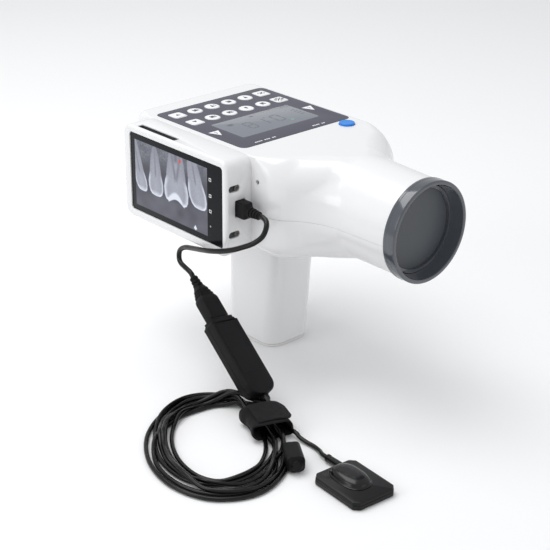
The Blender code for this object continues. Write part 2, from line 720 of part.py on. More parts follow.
def boards(green, glass, black):
    """Control board on its posts, key board under the deck, and the LCD."""
    top = CONTROL_TOP
    width = CONTROL_POST[0] + 0.005
    control = box("control", (-width, CONTROL_POST[1][0] - 0.034, top - BOARD), (width, CONTROL_POST[1][1] + 0.006, top))
    give(control, "control_board", green)
    field, window = keypad_openings()
    keys = box("keys", (field[0][0] - 0.0035, field[0][1] - 0.002, DECK_UNDER - GAP - BOARD),
               (field[1][0] + 0.0035, field[2][1] + 0.002, DECK_UNDER - GAP))
    give(keys, "keypad_board", green)
    lcd = plate("lcd", rectangle(WINDOW_MIDDLE, WINDOW_WIDTH, WINDOW_LENGTH, 0.002), DECK_UNDER - 0.0045, FILM_SEAT)
    give(lcd, "lcd_module", black)
    x, y = BUTTON_POSITION
    switch = box("switch", (x - 0.006, y - 0.006, top + GAP), (x + 0.006, y + 0.006, top + 0.004), 0.0005, 1)
    join(switch, cylinder("plunger", 0.0017, (x, y, top + 0.003), (x, y, BUTTON_REST - BUTTON_TRAVEL - GAP), 20))
    give(switch, "exposure_switch", black)
    clear = plate("clear", rectangle(WINDOW_MIDDLE, WINDOW_WIDTH, WINDOW_LENGTH, 0.002), FILM_BOTTOM, FILM_TOP)
    give(clear, "lcd_window", glass)


# ---- keypad -------------------------------------------------------------------
def key_places():
    """Name, middle and whether round, for the keys of both rows."""
    places = []
    for row, y in zip(("rear", "front"), KEY_ROWS):
        for column in range(6):
            x = FILM_MIDDLE[0] + (column - 2.5) * KEY_PITCH
            places.append(("key_%s_%d" % (row, column + 1), (x, y), column not in (0, 5)))
    return places


def key_shape(place, is_round, grow, low, high, edge=0.0):
    x, y = place
    if is_round:
        return cylinder("key", KEY_DIAMETER / 2 + grow, (x, y, low), (x, y, high), 28, edge, 1)
    side = KEY_SQUARE + 2 * grow
    return plate("key", rectangle(place, side, side, 0.0018 + grow), low, high, 3, edge)


def keypad(slate, white):
    film = plate("film", rectangle(FILM_MIDDLE, FILM_WIDTH, FILM_LENGTH, FILM_CORNER), FILM_BOTTOM, FILM_TOP, 5)
    window = plate("window", rectangle(WINDOW_MIDDLE, WINDOW_WIDTH + 2 * GAP, WINDOW_LENGTH + 2 * GAP, 0.002 + GAP),
                   FILM_BOTTOM - 0.01, FILM_TOP + 0.01)
    cut(film, window)
    for name, place, is_round in key_places():
        cut(film, key_shape(place, is_round, KEY_CLEARANCE, FILM_BOTTOM - 0.01, FILM_TOP + 0.01))
        top = FILM_TOP + KEY_PROUD
        key = key_shape(place, is_round, 0.0, top - KEY_DEPTH, top, 0.0003)
        give(key, name, white)
        set_origin(key, (*place, top))
    give(film, "keypad_film", slate)


def exposure_button(blue):
    x, y = BUTTON_POSITION
    top = BODY_TOP + BUTTON_PROUD
    cap = cylinder("cap", BUTTON_DIAMETER / 2, (x, y, BUTTON_REST + 0.001), (x, y, top), 40, 0.0006, 2)
    join(cap, cylinder("flange", BUTTON_FLANGE / 2, (x, y, BUTTON_REST), (x, y, DECK_UNDER - GAP), 40))
    give(cap, "exposure_button", blue)
    set_origin(cap, (x, y, top))


# ---- screen housing -----------------------------------------------------------
def side_outline(low, high, radius, steps):
    """Points (y, z) and normals round a rectangle seen along x."""
    corners = [(low[0], low[1], radius), (high[0], low[1], radius), (high[0], high[1], radius), (low[0], high[1], radius)]
    return rounded_outline(corners, steps)


def side_plate(name, low, high, radius, x_low, x_high, steps=4, edge=0.0, levels=0):
    """A rounded plate across x; edge rounds its -X rim."""
    outline = side_outline(low, high, radius, steps)
    rings = []
    for level in range(levels + 1):
        angle = math.pi / 2.0 * level / max(levels, 1) if levels else math.pi / 2.0
        inset = edge * (1 - math.sin(angle))
        out = edge * (1 - math.cos(angle)) if levels else 0.0
        rings.append([(x_low + out, p.x - n.x * inset, p.y - n.y * inset) for p, n in outline])
    rings.append([(x_high, p.x, p.y) for p, n in outline])
    return loft(name, rings)


def glass_box(grow):
    low = (GLASS_MIDDLE_Y - GLASS_LENGTH / 2 - grow, GLASS_MIDDLE_Z - GLASS_HEIGHT / 2 - grow)
    high = (GLASS_MIDDLE_Y + GLASS_LENGTH / 2 + grow, GLASS_MIDDLE_Z + GLASS_HEIGHT / 2 + grow)
    return low, high


def screen_housing(white):
    back = -BODY_HALF_WIDTH - GAP
    low = (HOUSING_FRONT, HOUSING_BOTTOM)
    high = (HOUSING_REAR, BODY_TOP)
    shell = side_plate("housing", low, high, HOUSING_CORNER, HOUSING_FACE, back, 5, HOUSING_EDGE, 3)
    inner_low = [v + HOUSING_WALL for v in low]
    inner_high = [v - HOUSING_WALL for v in high]
    room = side_plate("room", inner_low, inner_high, HOUSING_CORNER - HOUSING_WALL, HOUSING_FACE + HOUSING_WALL, 0.0)
    cut(shell, room)
    inside = HOUSING_FRONT + HOUSING_WALL
    for z in SCREW_HEIGHTS:
        join(shell, box("boss", (SCREW_BOSS_X[0], inside - 0.0005, z - 0.0040), (SCREW_BOSS_X[1], inside + 0.008, z + 0.0040)))
        recess = obround("recess", SCREW_X, z, RECESS_LENGTH, RECESS_HEIGHT, HOUSING_FRONT - 0.005, HOUSING_FRONT + RECESS_DEPTH)
        x = SCREW_X + RECESS_SHIFT
        cut(shell, recess, cylinder("pilot", SCREW_HOLE, (x, HOUSING_FRONT - 0.001, z), (x, inside + 0.0065, z), 16))
    y_low, y_high = glass_box(GAP)
    cut(shell, side_plate("opening", y_low, y_high, GLASS_CORNER + GAP, HOUSING_FACE - 0.01, HOUSING_FACE + 0.01))
    x, z = PORT_MIDDLE
    port = box("port", (x - PORT_WIDTH / 2, HOUSING_FRONT - 0.01, z - PORT_HEIGHT / 2),
               (x + PORT_WIDTH / 2, inside + 0.002, z + PORT_HEIGHT / 2))
    cut(shell, port)
    cut(shell, plate("vent", rectangle(VENT_MIDDLE, VENT_WIDTH, VENT_LENGTH, 0.0012), BODY_TOP - 0.0045, BODY_TOP + 0.01))
    return give(shell, "screen_housing", white)


def obround(name, x, z, length, height, y_low, y_high):
    """A slot with round ends, sunk along y."""
    outline = rounded_outline(rectangle((x, z), length, height, height / 2 - 0.00005), 8)
    rings = [[(p.x, y, p.y) for p, _ in reversed(outline)] for y in (y_low, y_high)]
    return loft(name, rings)


def housing_screw(name, z, steel):
    x = SCREW_X + RECESS_SHIFT
    floor = HOUSING_FRONT + RECESS_DEPTH - GAP
    screw = cylinder("head", SCREW_HEAD, (x, floor - SCREW_HEAD_HEIGHT + 0.0004, z), (x, floor, z), 24)
    join(screw, cylinder("shank", SCREW_HOLE - 0.0002, (x, floor - 0.0004, z), (x, floor + 0.0060, z), 16))
    face = floor - SCREW_HEAD_HEIGHT + 0.0004
    slot = box("slot", (x - 0.0016, face - 0.001, z - 0.0003), (x + 0.0016, face + 0.0006, z + 0.0003))
    cross = box("cross", (x - 0.0003, face - 0.001, z - 0.0016), (x + 0.0003, face + 0.0006, z + 0.0016))
    return give(cut(screw, join(slot, cross)), name, steel)


def vent_grille(black):
    top = BODY_TOP - 0.0006
    grille = plate("grille", rectangle(VENT_MIDDLE, VENT_WIDTH - 2 * GAP, VENT_LENGTH - 2 * GAP, 0.001), top - 0.0012, top)
    pitch = (VENT_LENGTH - 0.002) / VENT_RIBS
    for index in range(VENT_RIBS):
        y = VENT_MIDDLE[1] + (index - (VENT_RIBS - 1) / 2) * pitch
        cut(grille, box("slit", (VENT_MIDDLE[0] - 0.0021, y - pitch * 0.32, top - 0.01),
                        (VENT_MIDDLE[0] + 0.0021, y + pitch * 0.32, top + 0.01)))
    return give(grille, "vent_grille", black)


def screen_parts(glass, black, green, steel):
    """Glass, display, its tray and board, and the socket behind the port."""
    face = HOUSING_FACE + GLASS_SINK
    low, high = glass_box(0.0)
    pane = side_plate("pane", low, high, GLASS_CORNER, face, face + GLASS_THICKNESS, 4, 0.0004, 1)
    give(pane, "screen_glass", glass)
    x = face + GLASS_THICKNESS + GAP
    rim = 0.0022
    panel_low, panel_high = glass_box(-rim)
    panel = side_plate("panel", panel_low, panel_high, 0.001, x, x + DISPLAY_THICKNESS, 2)
    give(panel, "display_panel", black)
    tray_front = HOUSING_FACE + HOUSING_WALL + GAP
    tray_back = x + DISPLAY_THICKNESS + GAP + TRAY_FLOOR
    tray_low = (HOUSING_FRONT + HOUSING_WALL + 0.0014, HOUSING_BOTTOM + HOUSING_WALL + 0.0010)
    tray_high = (HOUSING_REAR - HOUSING_WALL - 0.0014, BODY_TOP - HOUSING_WALL - 0.0010)
    tray = side_plate("tray", tray_low, tray_high, HOUSING_CORNER - HOUSING_WALL - 0.001, tray_front, tray_back, 3)
    pocket_low, pocket_high = glass_box(GAP - rim)
    cut(tray, side_plate("pocket", pocket_low, pocket_high, 0.001 + GAP, tray_front - 0.01, tray_back - TRAY_FLOOR, 2))
    give(tray, "screen_tray", steel)
    board_front = tray_back + GAP
    board = box("board", (board_front, HOUSING_FRONT + 0.0145, HOUSING_BOTTOM + 0.012),
                (board_front + BOARD, HOUSING_REAR - 0.020, BODY_TOP - 0.012))
    give(board, "screen_board", green)
    port_x, port_z = PORT_MIDDLE
    inside = HOUSING_FRONT + HOUSING_WALL + GAP
    left = board_front + BOARD + GAP
    socket = box("socket", (left, inside, port_z - 0.0085), (port_x + 0.0045, inside + 0.020, port_z + 0.0085), 0.0004, 1)
    hole = box("hole", (port_x - 0.0027, inside - 0.01, port_z - 0.0065), (port_x + 0.0027, inside + 0.0125, port_z + 0.0065))
    give(cut(socket, hole), "usb_port", steel)


# ---- sensor lead --------------------------------------------------------------
def smooth_route(points, spacing):
    """Points at even spacing on a smooth curve through a route."""
    route = [Vector(point) for point in points]
    route = [route[0] * 2 - route[1]] + route + [route[-1] * 2 - route[-2]]
    fine = []
    for a, b, c, d in zip(route, route[1:], route[2:], route[3:]):
        for step in range(12):
            t = step / 12.0
            fine.append(0.5 * ((2 * b) + (c - a) * t + (2 * a - 5 * b + 4 * c - d) * t * t
                               + (3 * b - 3 * c + d - a) * t * t * t))
    fine.append(route[-2])
    lengths = [0.0]
    for before, after in zip(fine, fine[1:]):
        lengths.append(lengths[-1] + (after - before).length)
    count = max(int(round(lengths[-1] / spacing)), 2)
    even = []
    index = 0
    for step in range(count + 1):
        target = lengths[-1] * step / count
        while index < len(fine) - 2 and lengths[index + 1] < target:
            index += 1
        share = (target - lengths[index]) / (lengths[index + 1] - lengths[index])
        even.append(fine[index].lerp(fine[index + 1], min(max(share, 0.0), 1.0)))
    return even


def cord(name, route, diameter, black):
    """A round cord through a route, as a bevelled curve."""
    curve = bpy.data.curves.new(name, "CURVE")
    curve.dimensions = "3D"
    curve.bevel_depth = diameter / 2
    curve.bevel_resolution = 2
    curve.use_fill_caps = True
    spline = curve.splines.new("POLY")
    points = smooth_route(route, diameter * 2.0)
    straight = diameter * 0.5
    leaving = (Vector(route[1]) - points[0]).normalized() * straight
    arriving = (Vector(route[-2]) - points[-1]).normalized() * straight
    points = [points[0], points[0] + leaving, *points[1:-1], points[-1] + arriving, points[-1]]
    spline.points.add(len(points) - 1)
    for point, place in zip(spline.points, points):
        point.co = (*place, 1.0)
    line = bpy.data.objects.new(name + "_line", curve)
    bpy.context.scene.collection.objects.link(line)
    bpy.context.view_layer.update()
    graph = bpy.context.evaluated_depsgraph_get()
    mesh = bpy.data.meshes.new_from_object(line.evaluated_get(graph))
    item = bpy.data.objects.new(name, mesh)
    bpy.data.collections[PARTS].objects.link(item)
    remove(line)
    shape = bmesh.new()
    shape.from_mesh(mesh)
    bmesh.ops.remove_doubles(shape, verts=shape.verts, dist=0.000001)
    bmesh.ops.recalc_face_normals(shape, faces=shape.faces)
    shape.to_mesh(mesh)
    shape.free()
    return give(item, name, black)


def chain_frame():
    """Frame of the socket and adapter: Z runs down their length, X across their width."""
    top = Vector(CHAIN_TOP)
    along = (Vector(CHAIN_FOOT) - top).normalized()
    across = Vector((0, 0, 1)).cross(along).normalized()
    across = Matrix.Rotation(-CHAIN_ROLL, 3, along) @ across
    thick = along.cross(across)
    frame = Matrix((across, thick, along)).transposed().to_4x4()
    return Matrix.Translation(top) @ frame


def usb_plug(black):
    x, z = PORT_MIDDLE
    start = HOUSING_FRONT + 0.0018
    end = HOUSING_FRONT - PLUG_LENGTH
    half_x = PORT_WIDTH / 2 - GAP
    half_z = PORT_HEIGHT / 2 - GAP
    body = box("body", (x - half_x, end, z - half_z), (x + half_x, start, z + half_z), 0.0011)
    tongue = box("tongue", (x - 0.0022, start - 0.001, z - 0.0060), (x + 0.0022, start + 0.0105, z + 0.0060))
    neck = [(0.0, -0.001), (0.0050, -0.001), (0.0046, 0.001), (0.0036, PLUG_NECK * 0.45), (0.0036, PLUG_NECK * 0.9),
            (0.0033, PLUG_NECK), (0.0, PLUG_NECK)]
    relief = turned("neck", list(reversed(neck)), (x, end, z), (0, -1, 0), 24)
    return give(join(body, tongue, relief), "usb_plug", black)


def chain(black):
    """Moulded socket on the lead, and the adapter plugged into it."""
    frame = chain_frame()
    width, thick, length = SOCKET_SIZE
    relief = [(0.0, 0.0), (0.0031, 0.0), (0.0042, RELIEF_LENGTH), (0.0042, RELIEF_LENGTH + 0.002), (0.0, RELIEF_LENGTH + 0.002)]
    neck = turned("neck", list(reversed(relief)), (0, 0, 0), (0, 0, 1), 24)
    body = box("body", (-width / 2, -thick / 2, RELIEF_LENGTH), (width / 2, thick / 2, RELIEF_LENGTH + length), 0.0018)
    socket = oriented(join(body, neck), frame)
    give(socket, "usb_socket", black)
    start = RELIEF_LENGTH + length + GAP
    end = (Vector(CHAIN_FOOT) - Vector(CHAIN_TOP)).length
    width, thick = ADAPTER_SIZE
    adapter = box("adapter", (-width / 2, -thick / 2, start), (width / 2, thick / 2, end), 0.0024)
    give(oriented(adapter, frame), "sensor_adapter", black)


def coil_solid(name, grow, major=32, minor=10):
    """The wound lead as one oval ring."""
    bpy.ops.mesh.primitive_torus_add(major_segments=major, minor_segments=minor, major_radius=COIL_RADIUS,
                                     minor_radius=COIL_BAND)
    ring = bpy.context.object
    ring.name = name
    share = (COIL_BAND + grow) / COIL_BAND
    for vertex in ring.data.vertices:
        flat = Vector((vertex.co.x, vertex.co.y, 0.0))
        middle = flat.normalized() * COIL_RADIUS
        away = (vertex.co - middle) * share
        vertex.co = Vector((middle.x, middle.y * COIL_STRETCH, 0.0)) + away
    ring.scale.z = (COIL_HEIGHT / 2 + grow) / (COIL_BAND + grow)
    ring.rotation_euler.z = COIL_TURN
    ring.location = (*COIL_MIDDLE, COIL_HEIGHT / 2)
    take(ring)
    return settle(ring)


def sensor(black):
    width, length, height = SENSOR_SIZE
    half = width / 2
    end = length / 2
    corners = [(-half, -end, SENSOR_CHAMFER), (half, -end, SENSOR_CHAMFER), (half, end, SENSOR_CHAMFER),
               (-half, end, SENSOR_CHAMFER)]
    body = plate("sensor", corners, 0.0, height, 3, 0.0008)
    bpy.ops.mesh.primitive_uv_sphere_add(segments=24, ring_count=12, radius=1.0)
    hump = bpy.context.object
    hump.name = "hump"
    hump.scale = (0.0115, 0.0185, 0.0070)
    hump.location = (0.0, 0.004, height - 0.0004)
    take(hump)
    settle(hump)
    cut(hump, box("half", (-0.03, -0.04, -0.02), (0.03, 0.04, height - 0.0008)))
    join(body, hump)
    frame = Matrix.Translation((*SENSOR_MIDDLE, 0.0)) @ Matrix.Rotation(SENSOR_TURN, 4, "Z")
    give(oriented(body, frame), "sensor", black)
    return frame


def build():
    clear_scene()
    collection(PARTS)
    collection(CUTTERS)
    white = finish("white_moulding", (0.86, 0.86, 0.87), 0.28)
    slate = finish("slate_moulding", (0.085, 0.095, 0.115), 0.25)
    film = finish("keypad_film", (0.10, 0.10, 0.14), 0.35)
    black = finish("black_moulding", (0.012, 0.012, 0.014), 0.45)
    glass = finish("glass", (0.02, 0.02, 0.025), 0.05)
    blue = finish("blue_button", (0.015, 0.19, 0.72), 0.35)
    steel = finish("steel", (0.55, 0.55, 0.56), 0.3, 1.0)
    aluminium = finish("aluminium", (0.62, 0.63, 0.64), 0.4, 1.0)
    lead = finish("lead_liner", (0.25, 0.26, 0.28), 0.6, 1.0)
    green = finish("circuit_board", (0.03, 0.20, 0.09), 0.5)
    copper = finish("winding", (0.55, 0.28, 0.10), 0.4)
    resin = finish("resin", (0.62, 0.55, 0.40), 0.5)
    pack = finish("battery_wrap", (0.05, 0.20, 0.45), 0.4)

    moulding = moulded_body()
    twin = bpy.data.objects.new("twin", moulding.data.copy())
    bpy.data.collections[PARTS].objects.link(twin)
    upper_shell(moulding, white)
    lower_shell(twin, white)
    cone_ring(slate)
    beam_window(slate)
    base_cap(white)
    base_screw("base_screw_front", -1, steel)
    base_screw("base_screw_rear", 1, steel)
    battery_pack(pack)
    tank(aluminium)
    tank_inside(copper, glass, aluminium, green, resin)
    collimator(lead)
    boards(green, glass, black)
    keypad(film, white)
    exposure_button(blue)
    screen_housing(white)
    housing_screw("housing_screw_upper", SCREW_HEIGHTS[0], steel)
    housing_screw("housing_screw_lower", SCREW_HEIGHTS[1], steel)
    vent_grille(black)
    screen_parts(glass, black, green, steel)
    usb_plug(black)
    cord("usb_lead", lead_route(), LEAD_DIAMETER, black)
    chain(black)
    start, end = FERRITE_ENDS
    give(cylinder("ferrite", FERRITE_RADIUS, start, end, 24, 0.0015), "ferrite_bead", black)
    bead = cylinder("bead_room", FERRITE_RADIUS + GAP, *stretched(start, end, GAP), 24)
    give(cut(coil_solid("coil", 0.0), bead), "lead_coil", black)
    x, y = STRAP_MIDDLE
    width, length, height = STRAP_SIZE
    strap = box("strap", (-width / 2, -length / 2, 0.0045), (width / 2, length / 2, height), 0.003)
    oriented(strap, Matrix.Translation((x, y, 0.0)) @ Matrix.Rotation(STRAP_TURN, 4, "Z"))
    give(cut(strap, coil_solid("inside", 0.0006)), "cable_strap", black)
    frame = sensor(black)
    width, length, height = SENSOR_SIZE
    way = [frame @ Vector((SLEEVE_X, length / 2 + GAP + along, height / 2))
           for along in (0.0, SLEEVE_LENGTH, SLEEVE_LENGTH + GAP, SLEEVE_LENGTH + GAP + 0.004)]
    profile = [(0.0, 0.0), (0.0032, 0.0), (0.0024, SLEEVE_LENGTH), (0.0, SLEEVE_LENGTH)]
    give(turned("sleeve", list(reversed(profile)), way[0], way[1] - way[0], 20), "sensor_sleeve", black)
    cord("sensor_lead", [*SENSOR_ROUTE, way[3], way[2]], SENSOR_LEAD_DIAMETER, black)


def stretched(start, end, more):
    """The two ends of a line, each moved outward."""
    start = Vector(start)
    end = Vector(end)
    way = (end - start).normalized() * more
    return start - way, end + way


def lead_route():
    """The lead's route, ended on the socket's relief."""
    top = chain_frame() @ Vector((0, 0, -GAP))
    before = chain_frame() @ Vector((0, 0, -GAP - 0.006))
    return [*LEAD_ROUTE, tuple(before), tuple(top)]


build()
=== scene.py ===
"""Hand-held intraoral x-ray unit with its sensor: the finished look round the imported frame."""

import math

import bmesh
import bpy
import numpy as np
from mathutils import Matrix, Vector
from mathutils import noise


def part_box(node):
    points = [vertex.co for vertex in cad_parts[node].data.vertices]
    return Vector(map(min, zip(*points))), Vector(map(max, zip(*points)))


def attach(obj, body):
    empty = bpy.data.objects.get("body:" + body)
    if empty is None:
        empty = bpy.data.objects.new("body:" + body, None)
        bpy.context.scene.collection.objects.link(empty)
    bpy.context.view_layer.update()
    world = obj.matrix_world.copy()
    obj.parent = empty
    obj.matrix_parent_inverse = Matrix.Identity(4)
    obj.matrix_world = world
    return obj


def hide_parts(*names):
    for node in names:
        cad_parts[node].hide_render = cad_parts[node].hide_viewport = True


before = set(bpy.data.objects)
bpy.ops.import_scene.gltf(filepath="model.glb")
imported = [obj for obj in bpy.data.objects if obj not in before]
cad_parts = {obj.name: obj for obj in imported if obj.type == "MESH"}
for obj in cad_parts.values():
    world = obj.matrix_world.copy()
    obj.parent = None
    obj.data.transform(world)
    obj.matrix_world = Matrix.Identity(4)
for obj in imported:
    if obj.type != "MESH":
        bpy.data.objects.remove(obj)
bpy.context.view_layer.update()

UNIT = "unit"
FINE = 0.00002                 # how near two pieces may look joined

# ---- sizes taken over from the part ---------------------------------------
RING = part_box("cone_ring")
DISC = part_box("beam_window")
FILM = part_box("keypad_film")
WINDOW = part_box("lcd_window")
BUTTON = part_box("exposure_button")
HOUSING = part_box("screen_housing")
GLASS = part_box("screen_glass")
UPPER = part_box("upper_shell")
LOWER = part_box("lower_shell")
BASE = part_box("base_cap")
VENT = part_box("vent_grille")

DECK = 0.1985                  # top of the body
BOTTOM = LOWER[0][2]           # lower end of the grip's shell, above its cap
HALF_WIDTH = UPPER[1][0]
REAR = UPPER[1][1]
FLOOR_OF_BODY = 0.1150         # underside of the body
PARTING = 0.151                # the two shells meet here
FRONT = -0.1235                # front of the body's block, inside the barrel
BEND = -0.0820                 # the sides start to close in here
CORNER_FRONT = 0.026           # plan corners
CORNER_REAR = 0.012
UNDER_EDGE = 0.012             # rounding of the lower edge, and what it gains at the nose
NOSE_EDGE_GAIN = 0.012
COVE_LOW, COVE_HIGH = 0.015, 0.0045       # hollow where barrel and body meet, low and at the deck
GRIP_COVE = 0.012
AXIS_Z = (RING[0][2] + RING[1][2]) / 2
BARREL_ROOT = -0.070           # the barrel tapers from here to its end
BARREL_ROOT_RADIUS = 0.045
BARREL_END = UPPER[0][1]
BARREL_END_RADIUS = 0.0412
GRIP_HALF_WIDTH = BASE[1][0]
GRIP_HALF_DEPTH = BASE[1][1]
GRIP_CORNER = 0.014
GRIP_LEAN = 0.0085             # how far the grip widens to the front on its way up
WALL = 0.0026
SHELL_WALL = WALL * 0.92
ROUGH_STEP = 0.0032            # voxels of the first and the final skin
MESH_STEP = 0.0016

# ---- small sizes of the face ----------------------------------------------------
FILM_CORNER = 0.006
KEY_CLEARANCE = 0.00022
KEY_CORNER = 0.0019
PRINT_THICKNESS = 0.00006
SEGMENT_THICKNESS = 0.00004
SINK = 0.00001                 # printed marks start this far inside their face
BUTTON_RADIUS = 0.0135 / 2
BUTTON_HOLE_RADIUS = 0.0072
BUTTON_EDGE = 0.0007
BUTTON_DISH = 0.00022
RESET_PLACE = (-0.0620, 0.1781)           # (y, z) of the reset hole in the left side
PORT_X, PORT_Z = -0.0805, 0.1570
PORT_SIZE = (0.0108, 0.0145)
HOUSING_CORNER = 0.009
HOUSING_EDGE = 0.0028
RECESS_X = -0.0866             # the two screw recesses beside the port
RECESS_HEIGHTS = (0.1748, 0.1351)
RECESS_DEPTH = 0.0020
PILOT_X = -0.0836
VENT_MIDDLE = (-0.0889, 0.0401)
VENT_SLOT = (0.0064, 0.0500)
VENT_GROWTH = Vector((0.0001, 0.0022, 0.0))
SLATS = 15
PICTURE_Y = (-0.0297, 0.0664)             # the lit radiograph on the glass
PICTURE_Z = (0.1282, 0.1874)
PICTURE_GRID = (260, 190)
SYMBOLS = ((0.1784, 0.0014), (0.1645, 0.0014), (0.1511, 0.0014), (0.1379, 0.0006))    # (z, half size)

# ---- leads, plugs and sensor, placed as in the part ---------------------------
LEAD_DIAMETER = 0.0044
SENSOR_LEAD_DIAMETER = 0.0036
LEAD_ROUTE = (
    (-0.0805, -0.0794, 0.1570), (-0.0805, -0.0824, 0.1570), (-0.0818, -0.0875, 0.1555),
    (-0.0848, -0.0908, 0.1518), (-0.0895, -0.0916, 0.1460), (-0.0944, -0.0865, 0.1400),
    (-0.0985, -0.0775, 0.1348), (-0.1015, -0.0680, 0.1303), (-0.1032, -0.0560, 0.1258),
    (-0.1030, -0.0420, 0.1215), (-0.1003, -0.0280, 0.1172), (-0.0965, -0.0130, 0.1125),
    (-0.0935, 0.0010, 0.1080), (-0.0925, 0.0090, 0.1030), (-0.0930, 0.0105, 0.0975),
    (-0.0944, 0.0065, 0.0922),
)
SENSOR_ROUTE = (
    (-0.1111, -0.1526, 0.0052), (-0.1118, -0.1610, 0.0034), (-0.1116, -0.1690, 0.0022),
    (-0.1113, -0.1770, 0.0020), (-0.1128, -0.1855, 0.0022),
)
# the chain is the socket and the adapter in one line
CHAIN_TOP = Vector((-0.0973, -0.0139, 0.0860))
CHAIN_FOOT = Vector((-0.1060, -0.1103, 0.0167))
CHAIN_ROLL = math.radians(12.0)
RELIEF_LENGTH = 0.010
SOCKET_SIZE = (0.0195, 0.0105, 0.0330)
ADAPTER_SIZE = (0.0295, 0.0140)
COIL_HEIGHT_STEP = 0.0011      # first height between turns, before they settle
COIL_MIDDLE = Vector((-0.1638, -0.1247, 0.0))
COIL_HALVES = (0.0441, 0.0441 * 1.46)
COIL_TURN = math.radians(-33.8)
STRAP_MIDDLE = Vector((-0.1205, -0.1315, 0.0))
STRAP_SIZE = (0.036, 0.034, 0.0165)
STRAP_TURN = math.radians(-21.6)
FERRITE_ENDS = (Vector((-0.1319, -0.1724, 0.0078)), Vector((-0.1481, -0.1976, 0.0078)))
SENSOR_MIDDLE = (-0.1277, -0.2381)
SENSOR_TURN = math.radians(-4.6)
SENSOR_SIZE = (0.0405, 0.0515, 0.0068)
SENSOR_CHAMFER = 0.007
SLEEVE_X = 0.0078
SLEEVE_LENGTH = 0.015
GAP = 0.0003

# ---- camera -------------------------------------------------------------------
CAMERA_PLACE = (-0.7781, -0.8619, 0.5841)
CAMERA_AZIMUTH = math.radians(-42.36)
CAMERA_ELEVATION = math.radians(24.51)
CAMERA_ROLL = math.radians(0.46)
CAMERA_LENS = 93.19


def add_camera():
    data = bpy.data.cameras.new("camera")
    data.lens = CAMERA_LENS
    data.sensor_width = 36.0
    a, e, r = CAMERA_AZIMUTH, CAMERA_ELEVATION, CAMERA_ROLL
    back = Vector((math.sin(a) * math.cos(e), -math.cos(a) * math.cos(e), math.sin(e)))
    right = Vector((math.cos(a), math.sin(a), 0.0))
    up = back.cross(right)
    turned_right = right * math.cos(r) + up * math.sin(r)
    turned_up = up * math.cos(r) - right * math.sin(r)
    camera = bpy.data.objects.new("camera", data)
    turn = Matrix((turned_right, turned_up, back)).transposed().to_4x4()
    camera.matrix_world = Matrix.Translation(CAMERA_PLACE) @ turn
    bpy.context.scene.collection.objects.link(camera)
    bpy.context.scene.camera = camera


add_camera()


# ---- materials ------------------------------------------------------------------
def new_material(name, colour, roughness, metallic=0.0, coat=0.0, specular=0.5):
    material = bpy.data.materials.new(name)
    material.use_nodes = True
    shader = material.node_tree.nodes["Principled BSDF"]
    shader.inputs["Base Color"].default_value = (*colour, 1.0)
    shader.inputs["Roughness"].default_value = roughness
    shader.inputs["Metallic"].default_value = metallic
    shader.inputs["Coat Weight"].default_value = coat
    shader.inputs["Coat Roughness"].default_value = 0.06
    shader.inputs["Specular IOR Level"].default_value = specular
    return material, material.node_tree, shader


def object_noise(tree, scale, detail=3.0, stretch=(1.0, 1.0, 1.0)):
    """Noise on the piece's own coordinates."""
    coordinates = tree.nodes.new("ShaderNodeTexCoord")
    mapping = tree.nodes.new("ShaderNodeMapping")
    mapping.inputs["Scale"].default_value = stretch
    texture = tree.nodes.new("ShaderNodeTexNoise")
    texture.inputs["Scale"].default_value = scale
    texture.inputs["Detail"].default_value = detail
    tree.links.new(coordinates.outputs["Object"], mapping.inputs["Vector"])
    tree.links.new(mapping.outputs["Vector"], texture.inputs["Vector"])
    return texture.outputs["Fac"]


def spread(tree, value, low, high):
    """Maps a 0 to 1 value to a range."""
    node = tree.nodes.new("ShaderNodeMapRange")
    node.inputs["To Min"].default_value = low
    node.inputs["To Max"].default_value = high
    tree.links.new(value, node.inputs["Value"])
    return node.outputs["Result"]


def tint(tree, shader, value, first, second):
    """Colour that drifts between two near shades."""
    mix = tree.nodes.new("ShaderNodeMix")
    mix.data_type = "RGBA"
    mix.inputs[6].default_value = (*first, 1.0)
    mix.inputs[7].default_value = (*second, 1.0)
    tree.links.new(value, mix.inputs["Factor"])
    tree.links.new(mix.outputs[2], shader.inputs["Base Color"])
    return mix


def bump(tree, shader, value, strength, distance):
    node = tree.nodes.new("ShaderNodeBump")
    node.inputs["Strength"].default_value = strength
    node.inputs["Distance"].default_value = distance
    tree.links.new(value, node.inputs["Height"])
    tree.links.new(node.outputs["Normal"], shader.inputs["Normal"])
    return node


def moulded(name, colour, roughness, grain=900.0, depth=0.00002,
            strength=0.2, coat=0.0, drift=0.03, specular=0.5):
    """Moulded plastic: fine grain, and a slight drift of colour and gloss."""
    material, tree, shader = new_material(name, colour, roughness, 0.0, coat, specular)
    cloud = object_noise(tree, 22.0)
    darker = tuple(c * (1.0 - drift) for c in colour)
    tint(tree, shader, cloud, colour, darker)
    fine = object_noise(tree, grain, 2.0)
    tree.links.new(spread(tree, cloud, roughness * 0.9, roughness * 1.12), shader.inputs["Roughness"])
    bump(tree, shader, fine, strength, depth)
    return material


def metal(name, colour, roughness, stretch=(1.0, 1.0, 18.0)):
    """Plated or cast metal with fine drawn lines."""
    material, tree, shader = new_material(name, colour, roughness, 1.0)
    lines = object_noise(tree, 300.0, 3.0, stretch)
    tree.links.new(spread(tree, lines, roughness * 0.8, roughness * 1.3), shader.inputs["Roughness"])
    bump(tree, shader, lines, 0.15, 0.00002)
    return material


def woven(name, colour):
    """Hook and loop tape: a fuzzy face with a fine weave."""
    material, tree, shader = new_material(name, colour, 0.9)
    shader.inputs["Sheen Weight"].default_value = 0.04
    shader.inputs["Specular IOR Level"].default_value = 0.15
    shader.inputs["Sheen Roughness"].default_value = 0.6
    fuzz = object_noise(tree, 2600.0, 4.0)
    cloud = object_noise(tree, 120.0)
    tint(tree, shader, cloud, colour, tuple(c * 1.8 for c in colour))
    bump(tree, shader, fuzz, 0.9, 0.0003)
    return material


